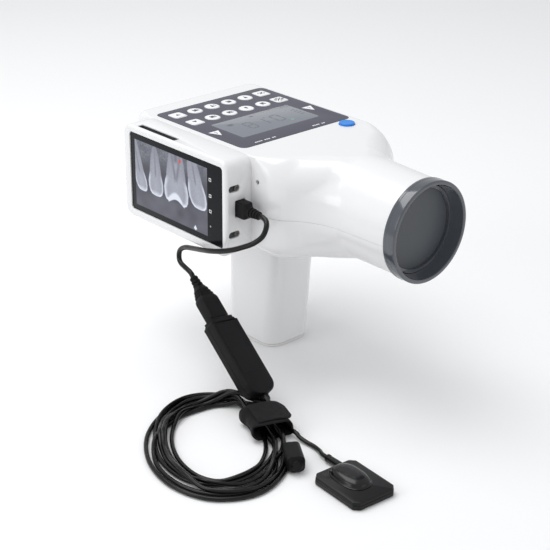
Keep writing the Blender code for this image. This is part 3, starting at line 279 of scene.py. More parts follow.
def circuit(name):
    """Green board with faint tracks."""
    material, tree, shader = new_material(name, (0.03, 0.20, 0.09), 0.4)
    tracks = object_noise(tree, 260.0, 1.0, (1.0, 1.0, 1.0))
    ramp = tree.nodes.new("ShaderNodeValToRGB")
    ramp.color_ramp.interpolation = "CONSTANT"
    ramp.color_ramp.elements[0].color = (0.02, 0.14, 0.06, 1.0)
    ramp.color_ramp.elements[1].color = (0.04, 0.26, 0.12, 1.0)
    ramp.color_ramp.elements[1].position = 0.52
    tree.links.new(tracks, ramp.inputs["Fac"])
    tree.links.new(ramp.outputs["Color"], shader.inputs["Base Color"])
    bump(tree, shader, tracks, 0.2, 0.00003)
    return material


def clear(name, colour, roughness, alpha):
    material, tree, shader = new_material(name, colour, roughness)
    shader.inputs["Alpha"].default_value = alpha
    cloud = object_noise(tree, 40.0)
    tree.links.new(spread(tree, cloud, roughness * 0.9, roughness * 1.2), shader.inputs["Roughness"])
    return material


WHITE = moulded("white_gloss_shell", (0.83, 0.83, 0.835), 0.24, 700.0, 0.00001, 0.12, 0.35, 0.012)
GRIP_WHITE = moulded("warm_white_cap", (0.80, 0.79, 0.775), 0.34, 900.0, 0.00002, 0.2, 0.1, 0.02)
SLATE = moulded("slate_gloss_ring", (0.070, 0.078, 0.092), 0.14, 500.0, 0.00001, 0.1, 0.6, 0.04)
DISC_GREY = moulded("grey_disc", (0.072, 0.080, 0.090), 0.42, 1400.0, 0.00002, 0.3, 0.0, 0.06)
FILM_GREY = moulded("keypad_film_grey", (0.066, 0.067, 0.092), 0.42, 1800.0, 0.00002, 0.3, 0.0, 0.03)
KEY_WHITE = moulded("key_white", (0.86, 0.86, 0.87), 0.40, 1500.0, 0.00001, 0.2, 0.0, 0.02)
PRINT_WHITE = moulded("printed_white", (0.88, 0.88, 0.90), 0.5, 1500.0, 0.00001, 0.1, 0.0, 0.01)
PRINT_DARK = moulded("printed_slate", (0.070, 0.072, 0.10), 0.5, 1500.0, 0.00001, 0.1, 0.0, 0.02)
BLUE = moulded("blue_button", (0.006, 0.215, 0.72), 0.38, 1200.0, 0.00001, 0.2, 0.1, 0.04)
LCD_BACK = moulded("lcd_face", (0.185, 0.200, 0.232), 0.22, 500.0, 0.00001, 0.1, 0.5, 0.05)
LCD_INK = moulded("lcd_segment", (0.110, 0.118, 0.140), 0.4, 900.0, 0.00001, 0.1, 0.0, 0.02)
LCD_GREEN = moulded("lcd_green", (0.16, 0.34, 0.27), 0.4, 900.0, 0.00001, 0.1, 0.0, 0.02)
GLASS_BLACK = moulded("black_glass", (0.0080, 0.0095, 0.012), 0.16, 200.0, 0.000004, 0.05, 0.0, 0.0, 0.12)
BLACK = moulded("black_case", (0.0052, 0.0052, 0.0060), 0.46, 1700.0, 0.00003, 0.4, 0.0, 0.10, 0.17)
BLACK_SMOOTH = moulded("black_smooth", (0.0045, 0.0045, 0.0052), 0.20, 900.0, 0.00002, 0.15, 0.0, 0.06, 0.40)
BLACK_SATIN = moulded("black_satin", (0.0060, 0.0060, 0.0068), 0.38, 1400.0, 0.00002, 0.3, 0.0, 0.06, 0.26)
RUBBER = moulded("black_jacket", (0.0035, 0.0034, 0.0036), 0.24, 500.0, 0.00002, 0.2, 0.0, 0.10, 0.32)
STRAP = woven("hook_and_loop", (0.0048, 0.0048, 0.0054))
STEEL = metal("plated_steel", (0.60, 0.60, 0.61), 0.26)
SCREW_DARK = metal("blackened_steel", (0.16, 0.155, 0.14), 0.38)
ALUMINIUM = metal("cast_aluminium", (0.62, 0.63, 0.64), 0.42, (1.0, 1.0, 1.0))
LEAD_GREY = metal("lead_grey", (0.22, 0.23, 0.25), 0.55, (1.0, 1.0, 1.0))
BOARD = circuit("circuit_board")
WINDING = moulded("wound_copper", (0.50, 0.22, 0.08), 0.35, 300.0, 0.00015, 0.7, 0.2, 0.2)
RESIN = moulded("cast_resin", (0.58, 0.50, 0.34), 0.45, 500.0, 0.00004, 0.4, 0.0, 0.08)
BATTERY = moulded("battery_wrap", (0.03, 0.13, 0.38), 0.30, 400.0, 0.00003, 0.3, 0.3, 0.08)
TUBE_GLASS = clear("tube_glass", (0.75, 0.82, 0.84), 0.05, 0.4)
# dark plastic of real parts, also used as painted shade in the screw recesses and behind the reset hole
DARK_PLASTIC_AND_SHADE = moulded("dark_plastic_and_painted_shade", (0.02, 0.022, 0.026), 0.4, 1500.0, 0.00002, 0.3)


# ---- mesh helpers -----------------------------------------------------------------
def place(name, mesh, material, body=UNIT, smooth_below=None):
    """A finished piece from a mesh, riding on its body."""
    item = bpy.data.objects.new(name, mesh)
    bpy.context.scene.collection.objects.link(item)
    mesh.materials.clear()
    mesh.materials.append(material)
    if smooth_below is not None:
        soften(mesh, smooth_below)
    if body:
        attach(item, body)
    return item


def soften(mesh, degrees):
    """Smooth shading, with edges sharper than the angle kept crisp."""
    shape = bmesh.new()
    shape.from_mesh(mesh)
    limit = math.radians(degrees)
    for face in shape.faces:
        face.smooth = True
    for edge in shape.edges:
        edge.smooth = len(edge.link_faces) == 2 and edge.calc_face_angle(0.0) < limit
    shape.to_mesh(mesh)
    shape.free()


def to_mesh(name, shape):
    bmesh.ops.recalc_face_normals(shape, faces=shape.faces)
    mesh = bpy.data.meshes.new(name)
    shape.to_mesh(mesh)
    shape.free()
    return mesh


def loose(name, mesh):
    item = bpy.data.objects.new(name, mesh)
    bpy.context.scene.collection.objects.link(item)
    return item


def plain(item):
    """The evaluated mesh of an object, which is then removed."""
    bpy.context.view_layer.update()
    graph = bpy.context.evaluated_depsgraph_get()
    mesh = bpy.data.meshes.new_from_object(item.evaluated_get(graph))
    old = item.data
    bpy.data.objects.remove(item)
    if isinstance(old, bpy.types.Mesh) and old.users == 0:
        bpy.data.meshes.remove(old)
    return mesh


def combine(mesh, operation, *others):
    """Boolean of closed meshes."""
    item = loose("combined", mesh)
    tools = []
    for other in others:
        tool = loose("tool", other)
        tools.append(tool)
        modifier = item.modifiers.new("boolean", "BOOLEAN")
        modifier.operation = operation
        modifier.solver = "MANIFOLD"
        modifier.object = tool
    result = plain(item)
    for tool in tools:
        bpy.data.objects.remove(tool)
    return result


def cut(mesh, *others):
    return combine(mesh, "DIFFERENCE", *others)


def bevelled(mesh, width, segments=3, degrees=35.0):
    item = loose("bevelled", mesh)
    modifier = item.modifiers.new("bevel", "BEVEL")
    modifier.width = width
    modifier.segments = segments
    modifier.limit_method = "ANGLE"
    modifier.angle_limit = math.radians(degrees)
    modifier.harden_normals = False
    return plain(item)


def loft(name, rings):
    """Closed rings of equal count joined in order, with both ends closed."""
    shape = bmesh.new()
    made = [[shape.verts.new(point) for point in ring] for ring in rings]
    count = len(rings[0])
    for lower, upper in zip(made, made[1:]):
        for index in range(count):
            after = (index + 1) % count
            shape.faces.new((lower[index], lower[after], upper[after], upper[index]))
    shape.faces.new(list(reversed(made[0])))
    shape.faces.new(made[-1])
    return to_mesh(name, shape)


def rounded_outline(corners, steps=8):
    """Points and outward normals round a convex outline given as (x, y, radius), anticlockwise."""
    result = []
    for index, (x, y, radius) in enumerate(corners):
        here = Vector((x, y))
        before = (Vector(corners[index - 1][:2]) - here).normalized()
        after = (Vector(corners[(index + 1) % len(corners)][:2]) - here).normalized()
        half = before.angle(after) / 2
        middle = here + (before + after).normalized() * (radius / math.sin(half))
        start = (here + before * (radius / math.tan(half))) - middle
        turn = math.pi - 2 * half
        for step in range(steps + 1):
            arm = Matrix.Rotation(turn * step / steps, 2) @ start
            result.append((middle + arm, arm.normalized()))
    return result


def middle_of(box):
    low, high = box
    return ((low[0] + high[0]) / 2, (low[1] + high[1]) / 2)


def rectangle(middle, width, length, radius):
    x, y = middle
    w, h = width / 2, length / 2
    return [(x - w, y - h, radius), (x + w, y - h, radius), (x + w, y + h, radius), (x - w, y + h, radius)]


def at_height(outline, z, inset=0.0):
    """An outline's ring at a height, drawn in by an inset."""
    return [(p.x - n.x * inset, p.y - n.y * inset, z) for p, n in outline]


def prism(name, outline, low, high):
    return loft(name, [at_height(outline, low), at_height(outline, high)])


def rolled(name, outline, low, high, edge, levels=4, foot=0.0, lift=None):
    """A plate whose upper rim is rolled over; lift turns (x, y, z) into the final place."""
    lift = lift or (lambda x, y, z: (x, y, z))
    rings = []
    if foot:
        for level in range(levels):
            angle = math.pi / 2 * level / levels
            inset = foot * (1 - math.sin(angle))
            rings.append([lift(p.x - n.x * inset, p.y - n.y * inset, low + foot * (1 - math.cos(angle)))
                          for p, n in outline])
    else:
        rings.append([lift(p.x, p.y, low) for p, n in outline])
    for level in range(levels + 1):
        angle = math.pi / 2 * level / levels
        inset = edge * (1 - math.cos(angle))
        rings.append([lift(p.x - n.x * inset, p.y - n.y * inset, high - edge * (1 - math.sin(angle)))
                      for p, n in outline])
    return loft(name, rings)


def turned(name, profile, start, direction, sides=96):
    """A closed profile of (radius, along) turned about a line."""
    along = Vector(direction).normalized()
    across = along.orthogonal().normalized()
    third = along.cross(across)
    start = Vector(start)
    shape = bmesh.new()
    rings = []
    for radius, distance in profile:
        if radius < 1e-7:
            rings.append([shape.verts.new(start + along * distance)])
            continue
        ring = []
        for side in range(sides):
            angle = 2 * math.pi * side / sides
            ring.append(shape.verts.new(start + along * distance
                                        + (across * math.cos(angle) + third * math.sin(angle)) * radius))
        rings.append(ring)
    pairs = list(zip(rings, rings[1:]))
    if len(rings[0]) > 1 and len(rings[-1]) > 1:
        pairs.append((rings[-1], rings[0]))
    for first, second in pairs:
        for side in range(sides):
            after = (side + 1) % sides
            if len(first) == 1 and len(second) == 1:
                continue
            if len(first) == 1:
                shape.faces.new((first[0], second[side], second[after]))
            elif len(second) == 1:
                shape.faces.new((first[side], second[0], first[after]))
            else:
                shape.faces.new((first[side], second[side], second[after], first[after]))
    return to_mesh(name, shape)


def rod(name, radius, length, start, direction, sides):
    return turned(name, [(0.0, 0.0), (radius, 0.0), (radius, length), (0.0, length)], start, direction, sides)


def block(name, low, high, edge=0.0, segments=3):
    corners = [(low[0], low[1]), (high[0], low[1]), (high[0], high[1]), (low[0], high[1])]
    mesh = loft(name, [[(x, y, z) for x, y in corners] for z in (low[2], high[2])])
    return bevelled(mesh, edge, segments) if edge else mesh


def moved(mesh, frame_matrix):
    mesh.transform(frame_matrix)
    return mesh


def join_meshes(name, meshes):
    shape = bmesh.new()
    for mesh in meshes:
        shape.from_mesh(mesh)
    mesh = bpy.data.meshes.new(name)
    shape.to_mesh(mesh)
    shape.free()
    return mesh


# ---- cords ----------------------------------------------------------------------
def smooth_route(points, spacing):
    """Points at even spacing on a smooth curve through a route."""
    route = [Vector(point) for point in points]
    route = [route[0] * 2 - route[1]] + route + [route[-1] * 2 - route[-2]]
    fine = []
    for a, b, c, d in zip(route, route[1:], route[2:], route[3:]):
        for step in range(12):
            t = step / 12.0
            fine.append(0.5 * ((2 * b) + (c - a) * t + (2 * a - 5 * b + 4 * c - d) * t * t
                               + (3 * b - 3 * c + d - a) * t * t * t))
    fine.append(route[-2])
    lengths = np.concatenate(([0.0], np.cumsum([(b - a).length for a, b in zip(fine, fine[1:])])))
    count = max(int(round(lengths[-1] / spacing)), 2)
    targets = np.linspace(0.0, lengths[-1], count + 1)
    array = np.array([tuple(p) for p in fine])
    return np.stack([np.interp(targets, lengths, array[:, k]) for k in range(3)], axis=1)


def cord_piece(name, points, diameter, material):
    curve = bpy.data.curves.new(name, "CURVE")
    curve.dimensions = "3D"
    curve.bevel_depth = diameter / 2
    curve.bevel_resolution = 4
    curve.use_fill_caps = True
    spline = curve.splines.new("POLY")
    spline.points.add(len(points) - 1)
    for point, spot in zip(spline.points, points):
        point.co = (*spot, 1.0)
    spline.use_smooth = True
    curve.materials.append(material)
    item = bpy.data.objects.new(name, curve)
    bpy.context.scene.collection.objects.link(item)
    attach(item, UNIT)
    return item


def chain_frame():
    """Z runs down the socket and adapter, X across their width, Y through their thickness."""
    along = (CHAIN_FOOT - CHAIN_TOP).normalized()
    across = Vector((0, 0, 1)).cross(along).normalized()
    across = Matrix.Rotation(-CHAIN_ROLL, 3, along) @ across
    thick = along.cross(across)
    return Matrix.Translation(CHAIN_TOP) @ Matrix((across, thick, along)).transposed().to_4x4()


CHAIN = chain_frame()
SENSOR_FRAME = Matrix.Translation((*SENSOR_MIDDLE, 0.0)) @ Matrix.Rotation(SENSOR_TURN, 4, "Z")
ADAPTER_END = (CHAIN_FOOT - CHAIN_TOP).length


def lead_points():
    top = CHAIN @ Vector((0, 0, 0.0))
    before = CHAIN @ Vector((0, 0, -0.006))
    start = Vector(LEAD_ROUTE[0]) + Vector((0, 0.004, 0))
    return smooth_route([start, *LEAD_ROUTE, before, top], LEAD_STEP)


# outward shift of each turn, in millimetres, at the strap, bottom, left and top of the coil
TURN_SHIFTS = (
    (5.5, 15.0, 13.5, 9.5),
    (1.5, -7.5, 4.5, 11.0),
    (-5.5, 9.0, 9.0, -7.5),
    (8.0, -2.5, -4.0, 4.0),
    (-2.0, 4.0, 0.5, 7.0),
    (-7.5, -9.0, -8.5, -3.5),
    (4.5, 11.0, -1.0, 0.5),
)
LAST_SHIFT = 9.0
STRAP_ANGLE = math.radians(17.6)
TURN_STEP = 0.0026             # spacing of the points along the wound lead
LEAD_STEP = 0.0016
SINKING_ROUNDS = 90
SMOOTHING_ROUNDS = 6
HELD_AT_ADAPTER = 4            # points that the settling leaves where they are


def coil_point(angle, shift):
    """A place on the coil: the oval's middle line moved outward by shift."""
    a, b = COIL_HALVES
    on_oval = Vector((a * math.cos(angle), b * math.sin(angle), 0.0))
    away = Vector((math.cos(angle) / a, math.sin(angle) / b, 0.0)).normalized()
    return COIL_MIDDLE + Matrix.Rotation(COIL_TURN, 3, "Z") @ (on_oval + away * shift)


def wound_points():
    """The sensor's lead from the adapter through its turns, the bead and the strap to the sleeve."""
    radius = SENSOR_LEAD_DIAMETER / 2
    start = [CHAIN @ Vector((0.002, 0.0, ADAPTER_END + along)) for along in (-0.002, 0.006)]
    route = [tuple(start[0]), tuple(start[1])]
    shifts = [value for turn in TURN_SHIFTS for value in turn]
    shifts.append(LAST_SHIFT)
    for index, shift in enumerate(shifts):
        angle = STRAP_ANGLE - index * math.pi / 2
        spot = coil_point(angle, shift / 1000.0)
        spot.z = radius + COIL_HEIGHT_STEP * (len(TURN_SHIFTS) - index / 4.0) + 0.0006
        following = shifts[index + 1] if index + 1 < len(shifts) else shift
        route.append(tuple(spot))
        if index + 1 < len(shifts):
            for share in (1 / 3, 2 / 3):
                eased = share * share * (3 - 2 * share)
                between = coil_point(angle - share * math.pi / 2,
                                     (shift + (following - shift) * eased) / 1000.0)
                between.z = spot.z - COIL_HEIGHT_STEP / 4 * share
                route.append(tuple(between))
    route[2] = tuple(Vector(route[2]) + Vector((0, 0, 0.001)))
    ends = [SENSOR_FRAME @ Vector((SLEEVE_X, SENSOR_SIZE[1] / 2 + GAP + SLEEVE_LENGTH + along,
                                   SENSOR_SIZE[2] / 2))
            for along in (0.006, -0.003)]
    tail = [*SENSOR_ROUTE, tuple(ends[0]), tuple(ends[1])]
    return smooth_route(route[:-1] + tail, TURN_STEP)


def settle_turns(points, radius, held):
    """Lays the wound lead down: each later stretch rests on the floor or on what is already there."""
    spots = points.copy()
    count = len(spots)
    lower, upper = np.triu_indices(count, 6)
    level = np.linalg.norm(spots[lower, :2] - spots[upper, :2], axis=1)
    near = level < radius * 2
    lower, upper, level = lower[near], upper[near], level[near]
    rise = np.sqrt((radius * 2) ** 2 - level ** 2)
    height = np.full(count, radius + 0.0001)
    height[held] = points[held, 2]
    for _ in range(SINKING_ROUNDS):
        height[1:-1] += (height[:-2] + height[2:] - 2 * height[1:-1]) * 0.30
        height -= 0.00012
        needed = height[lower] + rise
        np.maximum.at(height, upper, needed)
        height = np.maximum(height, radius + 0.0001)
        height[held] = points[held, 2]
    for _ in range(SMOOTHING_ROUNDS):
        height[1:-1] += (height[:-2] + height[2:] - 2 * height[1:-1]) * 0.25
        height[held] = points[held, 2]
    spots[:, 2] = height
    return spots


def lead_pieces():
    """The USB lead and the wound sensor lead, each with its points."""
    points = lead_points()
    lead = cord_piece("usb_lead_jacket", points, LEAD_DIAMETER, RUBBER)
    wound = wound_points()
    free = len(smooth_route([*SENSOR_ROUTE], TURN_STEP)) + 9
    held = np.zeros(len(wound), dtype=bool)
    held[:HELD_AT_ADAPTER] = True
    held[-free:] = True
    wound = settle_turns(wound, SENSOR_LEAD_DIAMETER / 2, held)
    jacket = cord_piece("sensor_lead_jacket", wound, SENSOR_LEAD_DIAMETER, RUBBER)
    return lead, points, jacket, wound


usb_lead, usb_points, sensor_lead, sensor_points = lead_pieces()


# ---- body shells -----------------------------------------------------------------
def ease(value, start, end):
    """Smooth rise from 0 at start to 1 at end."""
    share = np.clip((value - start) / (end - start), 0.0, 1.0)
    return share * share * (3.0 - 2.0 * share)


def corner_fillet(x, y):
    """Radius of the body's top edge at a place round its outline."""
    right = 0.007 + 0.019 * ease(y, BEND + 0.030, BEND - 0.006)
    left = (0.026 * ease(y, HOUSING[0][1] + 0.002, BEND - 0.006)
            + 0.009 * ease(y, HOUSING[1][1] - 0.004, HOUSING[1][1] + 0.014))
    radius = np.where(x > 0.0, right, left)
    back = 0.009 - 0.002 * ease(x, HALF_WIDTH - CORNER_REAR, HALF_WIDTH)
    share = ease(x, -HALF_WIDTH, -HALF_WIDTH + CORNER_REAR)
    rear = radius + (back - radius) * share
    return np.maximum(np.where(y > REAR - CORNER_REAR, rear, radius), 0.0005)


def outline_distance(x, y):
    """Signed distance to the body's plan outline with its corners rounded."""
    radius = np.where(y < 0.0, CORNER_FRONT, CORNER_REAR)
    side = HALF_WIDTH - radius
    rear = REAR - radius
    front = FRONT + radius
    bend = BEND + radius * math.tan(math.radians(22.5))
    mirrored = np.abs(x)
    # outside distance to each edge of the inset outline, worked on one half
    nose = side - (bend - front)
    slope = math.sqrt(0.5)
    faces = np.stack([mirrored - side, y - rear, front - y, (mirrored - side) * slope - (y - bend) * slope],
                     axis=0)
    inside = faces.max(axis=0)

    def to_segment(ax, ay, bx, by):
        ux, uy = bx - ax, by - ay
        share = np.clip(((mirrored - ax) * ux + (y - ay) * uy) / np.maximum(ux * ux + uy * uy, 1e-12),
                        0.0, 1.0)
        return np.hypot(mirrored - ax - ux * share, y - ay - uy * share)

    zero = np.zeros_like(side)
    outside = np.minimum.reduce([to_segment(side, rear, side, bend), to_segment(side, bend, nose, front),
                                 to_segment(nose, front, zero, front), to_segment(side, rear, zero, rear)])
    return np.where(inside <= 0.0, inside, outside) - radius


def round_edge(a, b, radius):
    """Intersection of two distances with a rounded edge."""
    first, second = a + radius, b + radius
    outside = np.hypot(np.maximum(first, 0.0), np.maximum(second, 0.0))
    return np.minimum(np.maximum(first, second), 0.0) + outside - radius


def round_joint(a, b, radius):
    """Union of two distances with a hollow fillet."""
    first, second = np.maximum(radius - a, 0.0), np.maximum(radius - b, 0.0)
    return np.maximum(radius, np.minimum(a, b)) - np.hypot(first, second)


def body_distance(points):
    """Signed distance to the outer skin: body, barrel and grip."""
    x, y, z = points[:, 0], points[:, 1], points[:, 2]
    plan = outline_distance(x, y)
    top = round_edge(plan, z - DECK, corner_fillet(x, y))
    low = round_edge(plan, FLOOR_OF_BODY - z, UNDER_EDGE + NOSE_EDGE_GAIN * ease(y, -0.085, -0.115))
    block_distance = np.where(z > PARTING, top, low)
    around = np.hypot(x, z - AXIS_Z)
    share = (y - BARREL_ROOT) / (BARREL_END - BARREL_ROOT)
    radius = BARREL_ROOT_RADIUS + (BARREL_END_RADIUS - BARREL_ROOT_RADIUS) * share
    beneath = np.clip((AXIS_Z - z) / np.maximum(around, 1e-6), 0.0, 1.0)
    radius = radius - 0.0062 * np.clip(1.08 - share, 0.0, 0.6) * beneath ** 2
    tube = np.maximum(np.maximum(around - radius, BARREL_END - 0.006 - y), y + 0.060)
    share = np.clip((z - 0.168) / 0.018, 0.0, 1.0)
    cove = COVE_LOW - (COVE_LOW - COVE_HIGH) * share * share * (3 - 2 * share)
    whole = round_joint(block_distance, tube, cove)
    whole = np.maximum(whole, np.where(y > FRONT + 0.004, z - DECK, -1.0))
    lean = GRIP_LEAN * np.clip(z / FLOOR_OF_BODY, 0.0, 1.0)
    half = GRIP_HALF_DEPTH + lean / 2
    gx = np.abs(x) - GRIP_HALF_WIDTH + GRIP_CORNER
    gy = np.abs(y + lean / 2) - half + GRIP_CORNER
    outside = np.hypot(np.maximum(gx, 0.0), np.maximum(gy, 0.0))
    grip_distance = np.minimum(np.maximum(gx, gy), 0.0) + outside - GRIP_CORNER
    grip_distance = np.maximum(np.maximum(grip_distance, BOTTOM - 0.006 - z), z - 0.135)
    return round_joint(whole, grip_distance, GRIP_COVE)


def onto_body(spots, rounds):
    """Moves points onto the skin along its slope."""
    step = 0.00005
    for _ in range(rounds):
        value = body_distance(spots)
        slope = np.stack([(body_distance(spots + offset) - body_distance(spots - offset)) / (2 * step)
                          for offset in (np.eye(3) * step)], axis=1)
        size = np.maximum((slope ** 2).sum(axis=1), 0.3)
        move = slope * (value / size)[:, None]
        length = np.linalg.norm(move, axis=1)
        move *= np.minimum(1.0, 0.004 / np.maximum(length, 1e-9))[:, None]
        spots = spots - move
    return spots


def read_spots(mesh):
    flat = np.empty(len(mesh.vertices) * 3)
    mesh.vertices.foreach_get("co", flat)
    return flat.reshape(-1, 3)


def write_spots(mesh, spots):
    mesh.vertices.foreach_set("co", spots.reshape(-1))
    mesh.update()


def relaxed(mesh, rounds):
    """Evens the mesh out along the surface, and puts it back on the body's shape."""
    edges = np.empty(len(mesh.edges) * 2, dtype=int)
    mesh.edges.foreach_get("vertices", edges)
    edges = edges.reshape(-1, 2)
    spots = read_spots(mesh)
    degree = np.bincount(edges.reshape(-1), minlength=len(spots)).astype(float)
    for _ in range(rounds):
        total = np.zeros_like(spots)
        for k in range(3):
            total[:, k] = (np.bincount(edges[:, 0], spots[edges[:, 1], k], len(spots))
                           + np.bincount(edges[:, 1], spots[edges[:, 0], k], len(spots)))
        spots = spots + (total / degree[:, None] - spots) * 0.5
        spots = onto_body(spots, 2)
    write_spots(mesh, spots)
    return mesh


def remeshed(mesh, size):
    item = loose("remeshed", mesh)
    modifier = item.modifiers.new("remesh", "REMESH")
    modifier.mode = "VOXEL"
    modifier.voxel_size = size
    return plain(item)


def outer_body():
    """The outer skin of body, barrel and grip as one even mesh."""
    outline = [(p.x, p.y) for p, n in rounded_outline(
        [(-0.0265, FRONT, 0.012), (0.0265, FRONT, 0.012), (HALF_WIDTH, BEND, 0.020),
         (HALF_WIDTH, REAR, 0.010),
         (-HALF_WIDTH, REAR, 0.010), (-HALF_WIDTH, BEND, 0.020)], 4)]
    rough = [loft("rough_block", [[(x, y, z) for x, y in outline] for z in (FLOOR_OF_BODY, DECK)])]
    rough.append(turned("rough_barrel", [(0.0, 0.0), (0.043, 0.0), (0.041, 0.120), (0.0, 0.120)],
                        (0, -0.062, AXIS_Z), (0, -1, 0), 48))
    grip_outline = [(p.x, p.y) for p, n in rounded_outline(rectangle((0, -0.002), 0.050, 0.066, 0.012), 4)]
    rough.append(loft("rough_grip", [[(x, y, z) for x, y in grip_outline] for z in (BOTTOM - 0.005, 0.13)]))
    mesh = remeshed(join_meshes("rough", rough), ROUGH_STEP)
    write_spots(mesh, onto_body(read_spots(mesh), 8))
    mesh = remeshed(mesh, MESH_STEP)
    write_spots(mesh, onto_body(read_spots(mesh), 5))
    return relaxed(mesh, 4)


def sliced(mesh, point, normal, keep_below, lines=()):
    """Cuts a mesh open along a plane, with extra lines beside it for the rounded rim."""
    shape = bmesh.new()
    shape.from_mesh(mesh)
    for offset in lines:
        spot = Vector(point) + Vector(normal) * offset
        bmesh.ops.bisect_plane(shape, geom=shape.verts[:] + shape.edges[:] + shape.faces[:],
                               plane_co=spot, plane_no=normal, dist=1e-7)
    bmesh.ops.bisect_plane(shape, geom=shape.verts[:] + shape.edges[:] + shape.faces[:],
                           plane_co=point, plane_no=normal,
                           dist=1e-7, clear_outer=keep_below, clear_inner=not keep_below)
    result = bpy.data.meshes.new("sliced")
    shape.to_mesh(result)
    shape.free()
    return result


def rim_drawn_in(mesh, axis, at, depths):
    """Draws in the loops near a cut rim, so the rim catches the light."""
    shape = bmesh.new()
    shape.from_mesh(mesh)
    shape.normal_update()
    moves = []
    for vertex in shape.verts:
        for offset, depth in depths:
            if abs(vertex.co[axis] - (at + offset)) < 2e-6:
                normal = vertex.normal.copy()
                normal[axis] = 0.0
                moves.append((vertex, normal.normalized() * -depth))
    for vertex, move in moves:
        vertex.co += move
    shape.to_mesh(mesh)
    shape.free()
    return mesh


def walled(mesh, thickness):
    item = loose("walled", mesh)
    modifier = item.modifiers.new("wall", "SOLIDIFY")
    modifier.thickness = thickness
    modifier.offset = -1.0
    modifier.use_rim = True
    return plain(item)


def film_outline(grow):
    width, length = FILM[1][0] - FILM[0][0] + 2 * grow, FILM[1][1] - FILM[0][1] + 2 * grow
    return rounded_outline(rectangle(middle_of(FILM), width, length, FILM_CORNER + grow), 8)


def shells():
    """Upper and lower shell cut from the skin, with a fine joint line and their holes."""
    skin = outer_body()
    skin = sliced(skin, (0, BARREL_END, 0), (0, 1, 0), False)
    lip = 0.00045
    half = 0.00005
    upper = sliced(sliced(skin, (0, 0, PARTING + half), (0, 0, 1), False, (lip, lip * 2.2)),
                   (0, 0, 1.0), (0, 0, 1), True)
    upper = rim_drawn_in(upper, 2, PARTING + half, ((0.0, 0.00020), (lip, 0.00004)))
    lower = sliced(skin, (0, 0, PARTING - half), (0, 0, 1), True, (-lip, -lip * 2.2))
    lower = sliced(lower, (0, 0, BOTTOM), (0, 0, 1), False, (lip,))
    lower = rim_drawn_in(lower, 2, PARTING - half, ((0.0, 0.00020), (-lip, 0.00004)))
    lower = rim_drawn_in(lower, 2, BOTTOM, ((0.0, 0.00035),))
    upper = walled(upper, SHELL_WALL)
    lower = walled(lower, SHELL_WALL)
    film = prism("film_hole", film_outline(0.00025), DECK - 0.010, DECK + 0.010)
    hole = rod("button_hole", BUTTON_HOLE_RADIUS, 0.020, (*middle_of(BUTTON), DECK - 0.010), (0, 0, 1), 64)
    pin = rod("pin_hole", 0.0020, 0.012, (-HALF_WIDTH + 0.006, *RESET_PLACE), (-1, 0, 0), 40)
    upper = cut(upper, film, hole, pin)
    top = place("upper_shell_skin", upper, WHITE, UNIT, 30)
    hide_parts("upper_shell")
    bottom = place("lower_shell_skin", lower, WHITE, UNIT, 30)
    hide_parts("lower_shell")


shells()


# ---- cone ring and disc ---------------------------------------------------------
def cone_ring():
    """End ring turned with its rolled rim and stepped bore, and the disc set back in it."""
    outer = (RING[1][0] - RING[0][0]) / 2
    front = -RING[0][1]
    back = -BARREL_END + 0.0002
    step = front - 0.0135 + 0.002 + 0.0003
    bore = 0.0387
    rim = 0.0012

    def arc(radius, along, size, start, end, steps=5):
        return [(radius + size * math.cos(math.radians(start + (end - start) * s / steps)),
                 along + size * math.sin(math.radians(start + (end - start) * s / steps)))
                for s in range(steps + 1)]

    profile = [(0.0374, back - 0.008), (0.0374, back)]
    profile += arc(outer - 0.0007, back + 0.0007, 0.0007, -90, 0)
    profile += [(outer, front - 0.0085), (outer - 0.0002, front - 0.0082)]
    profile += arc(outer - rim, front - rim, rim, 0, 90)
    profile += arc(bore + 0.0008, front - 0.0008, 0.0008, 90, 180)
    profile += [(bore - 0.0004, front - 0.0032), (0.0364, step - 0.0020),
                (0.0364, step), (0.0338, step), (0.0338, back - 0.008)]
    mesh = turned("ring", list(reversed(profile)), (0, 0, AXIS_Z), (0, -1, 0), 160)
    ring = place("cone_ring_turned", mesh, SLATE, UNIT, 30)
    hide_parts("cone_ring")
    radius = (DISC[1][0] - DISC[0][0]) / 2
    face = -DISC[0][1]
    disc = turned("disc", [(0.0, face - 0.0018), (radius, face - 0.0018),
                           (radius, face - 0.0004), (radius - 0.0004, face),
                           (radius - 0.0016, face), (radius - 0.0022, face - 0.0004),
                           (radius * 0.5, face - 0.0004),
                           (0.0, face - 0.0004)], (0, 0, AXIS_Z), (0, -1, 0), 128)
    disc = place("disc_turned", disc, DISC_GREY, UNIT, 30)
    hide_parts("beam_window")


cone_ring()


# ---- keypad ----------------------------------------------------------------------
def key_nodes():
    return sorted(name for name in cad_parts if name.startswith("key_"))


def is_square(name):
    return name.endswith("_1") or name.endswith("_6")


def key_outline(name, grow):
    low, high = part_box(name)
    middle = middle_of((low, high))
    size = high[0] - low[0] + 2 * grow
    if is_square(name):
        return rounded_outline(rectangle(middle, size, size, KEY_CORNER + grow), 6)
    points = []
    for step in range(48):
        angle = 2 * math.pi * step / 48
        normal = Vector((math.cos(angle), math.sin(angle)))
        points.append((Vector(middle) + normal * size / 2, normal))
    return points


def keypad_film():
    """Film with holes for the keys and the window."""
    top = FILM[1][2]
    mesh = rolled("film", film_outline(0.0), FILM[0][2], top, 0.00018, 2)
    holes = [prism("hole", key_outline(name, KEY_CLEARANCE), top - 0.01, top + 0.01) for name in key_nodes()]
    window = rectangle(middle_of(WINDOW), WINDOW[1][0] - WINDOW[0][0] + 0.0002,
                       WINDOW[1][1] - WINDOW[0][1] + 0.0002, 0.0021)
    holes.append(prism("window_hole", rounded_outline(window, 6), top - 0.01, top + 0.01))
    film = place("keypad_film_printed", cut(mesh, *holes), FILM_GREY, UNIT, 30)
    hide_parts("keypad_film")


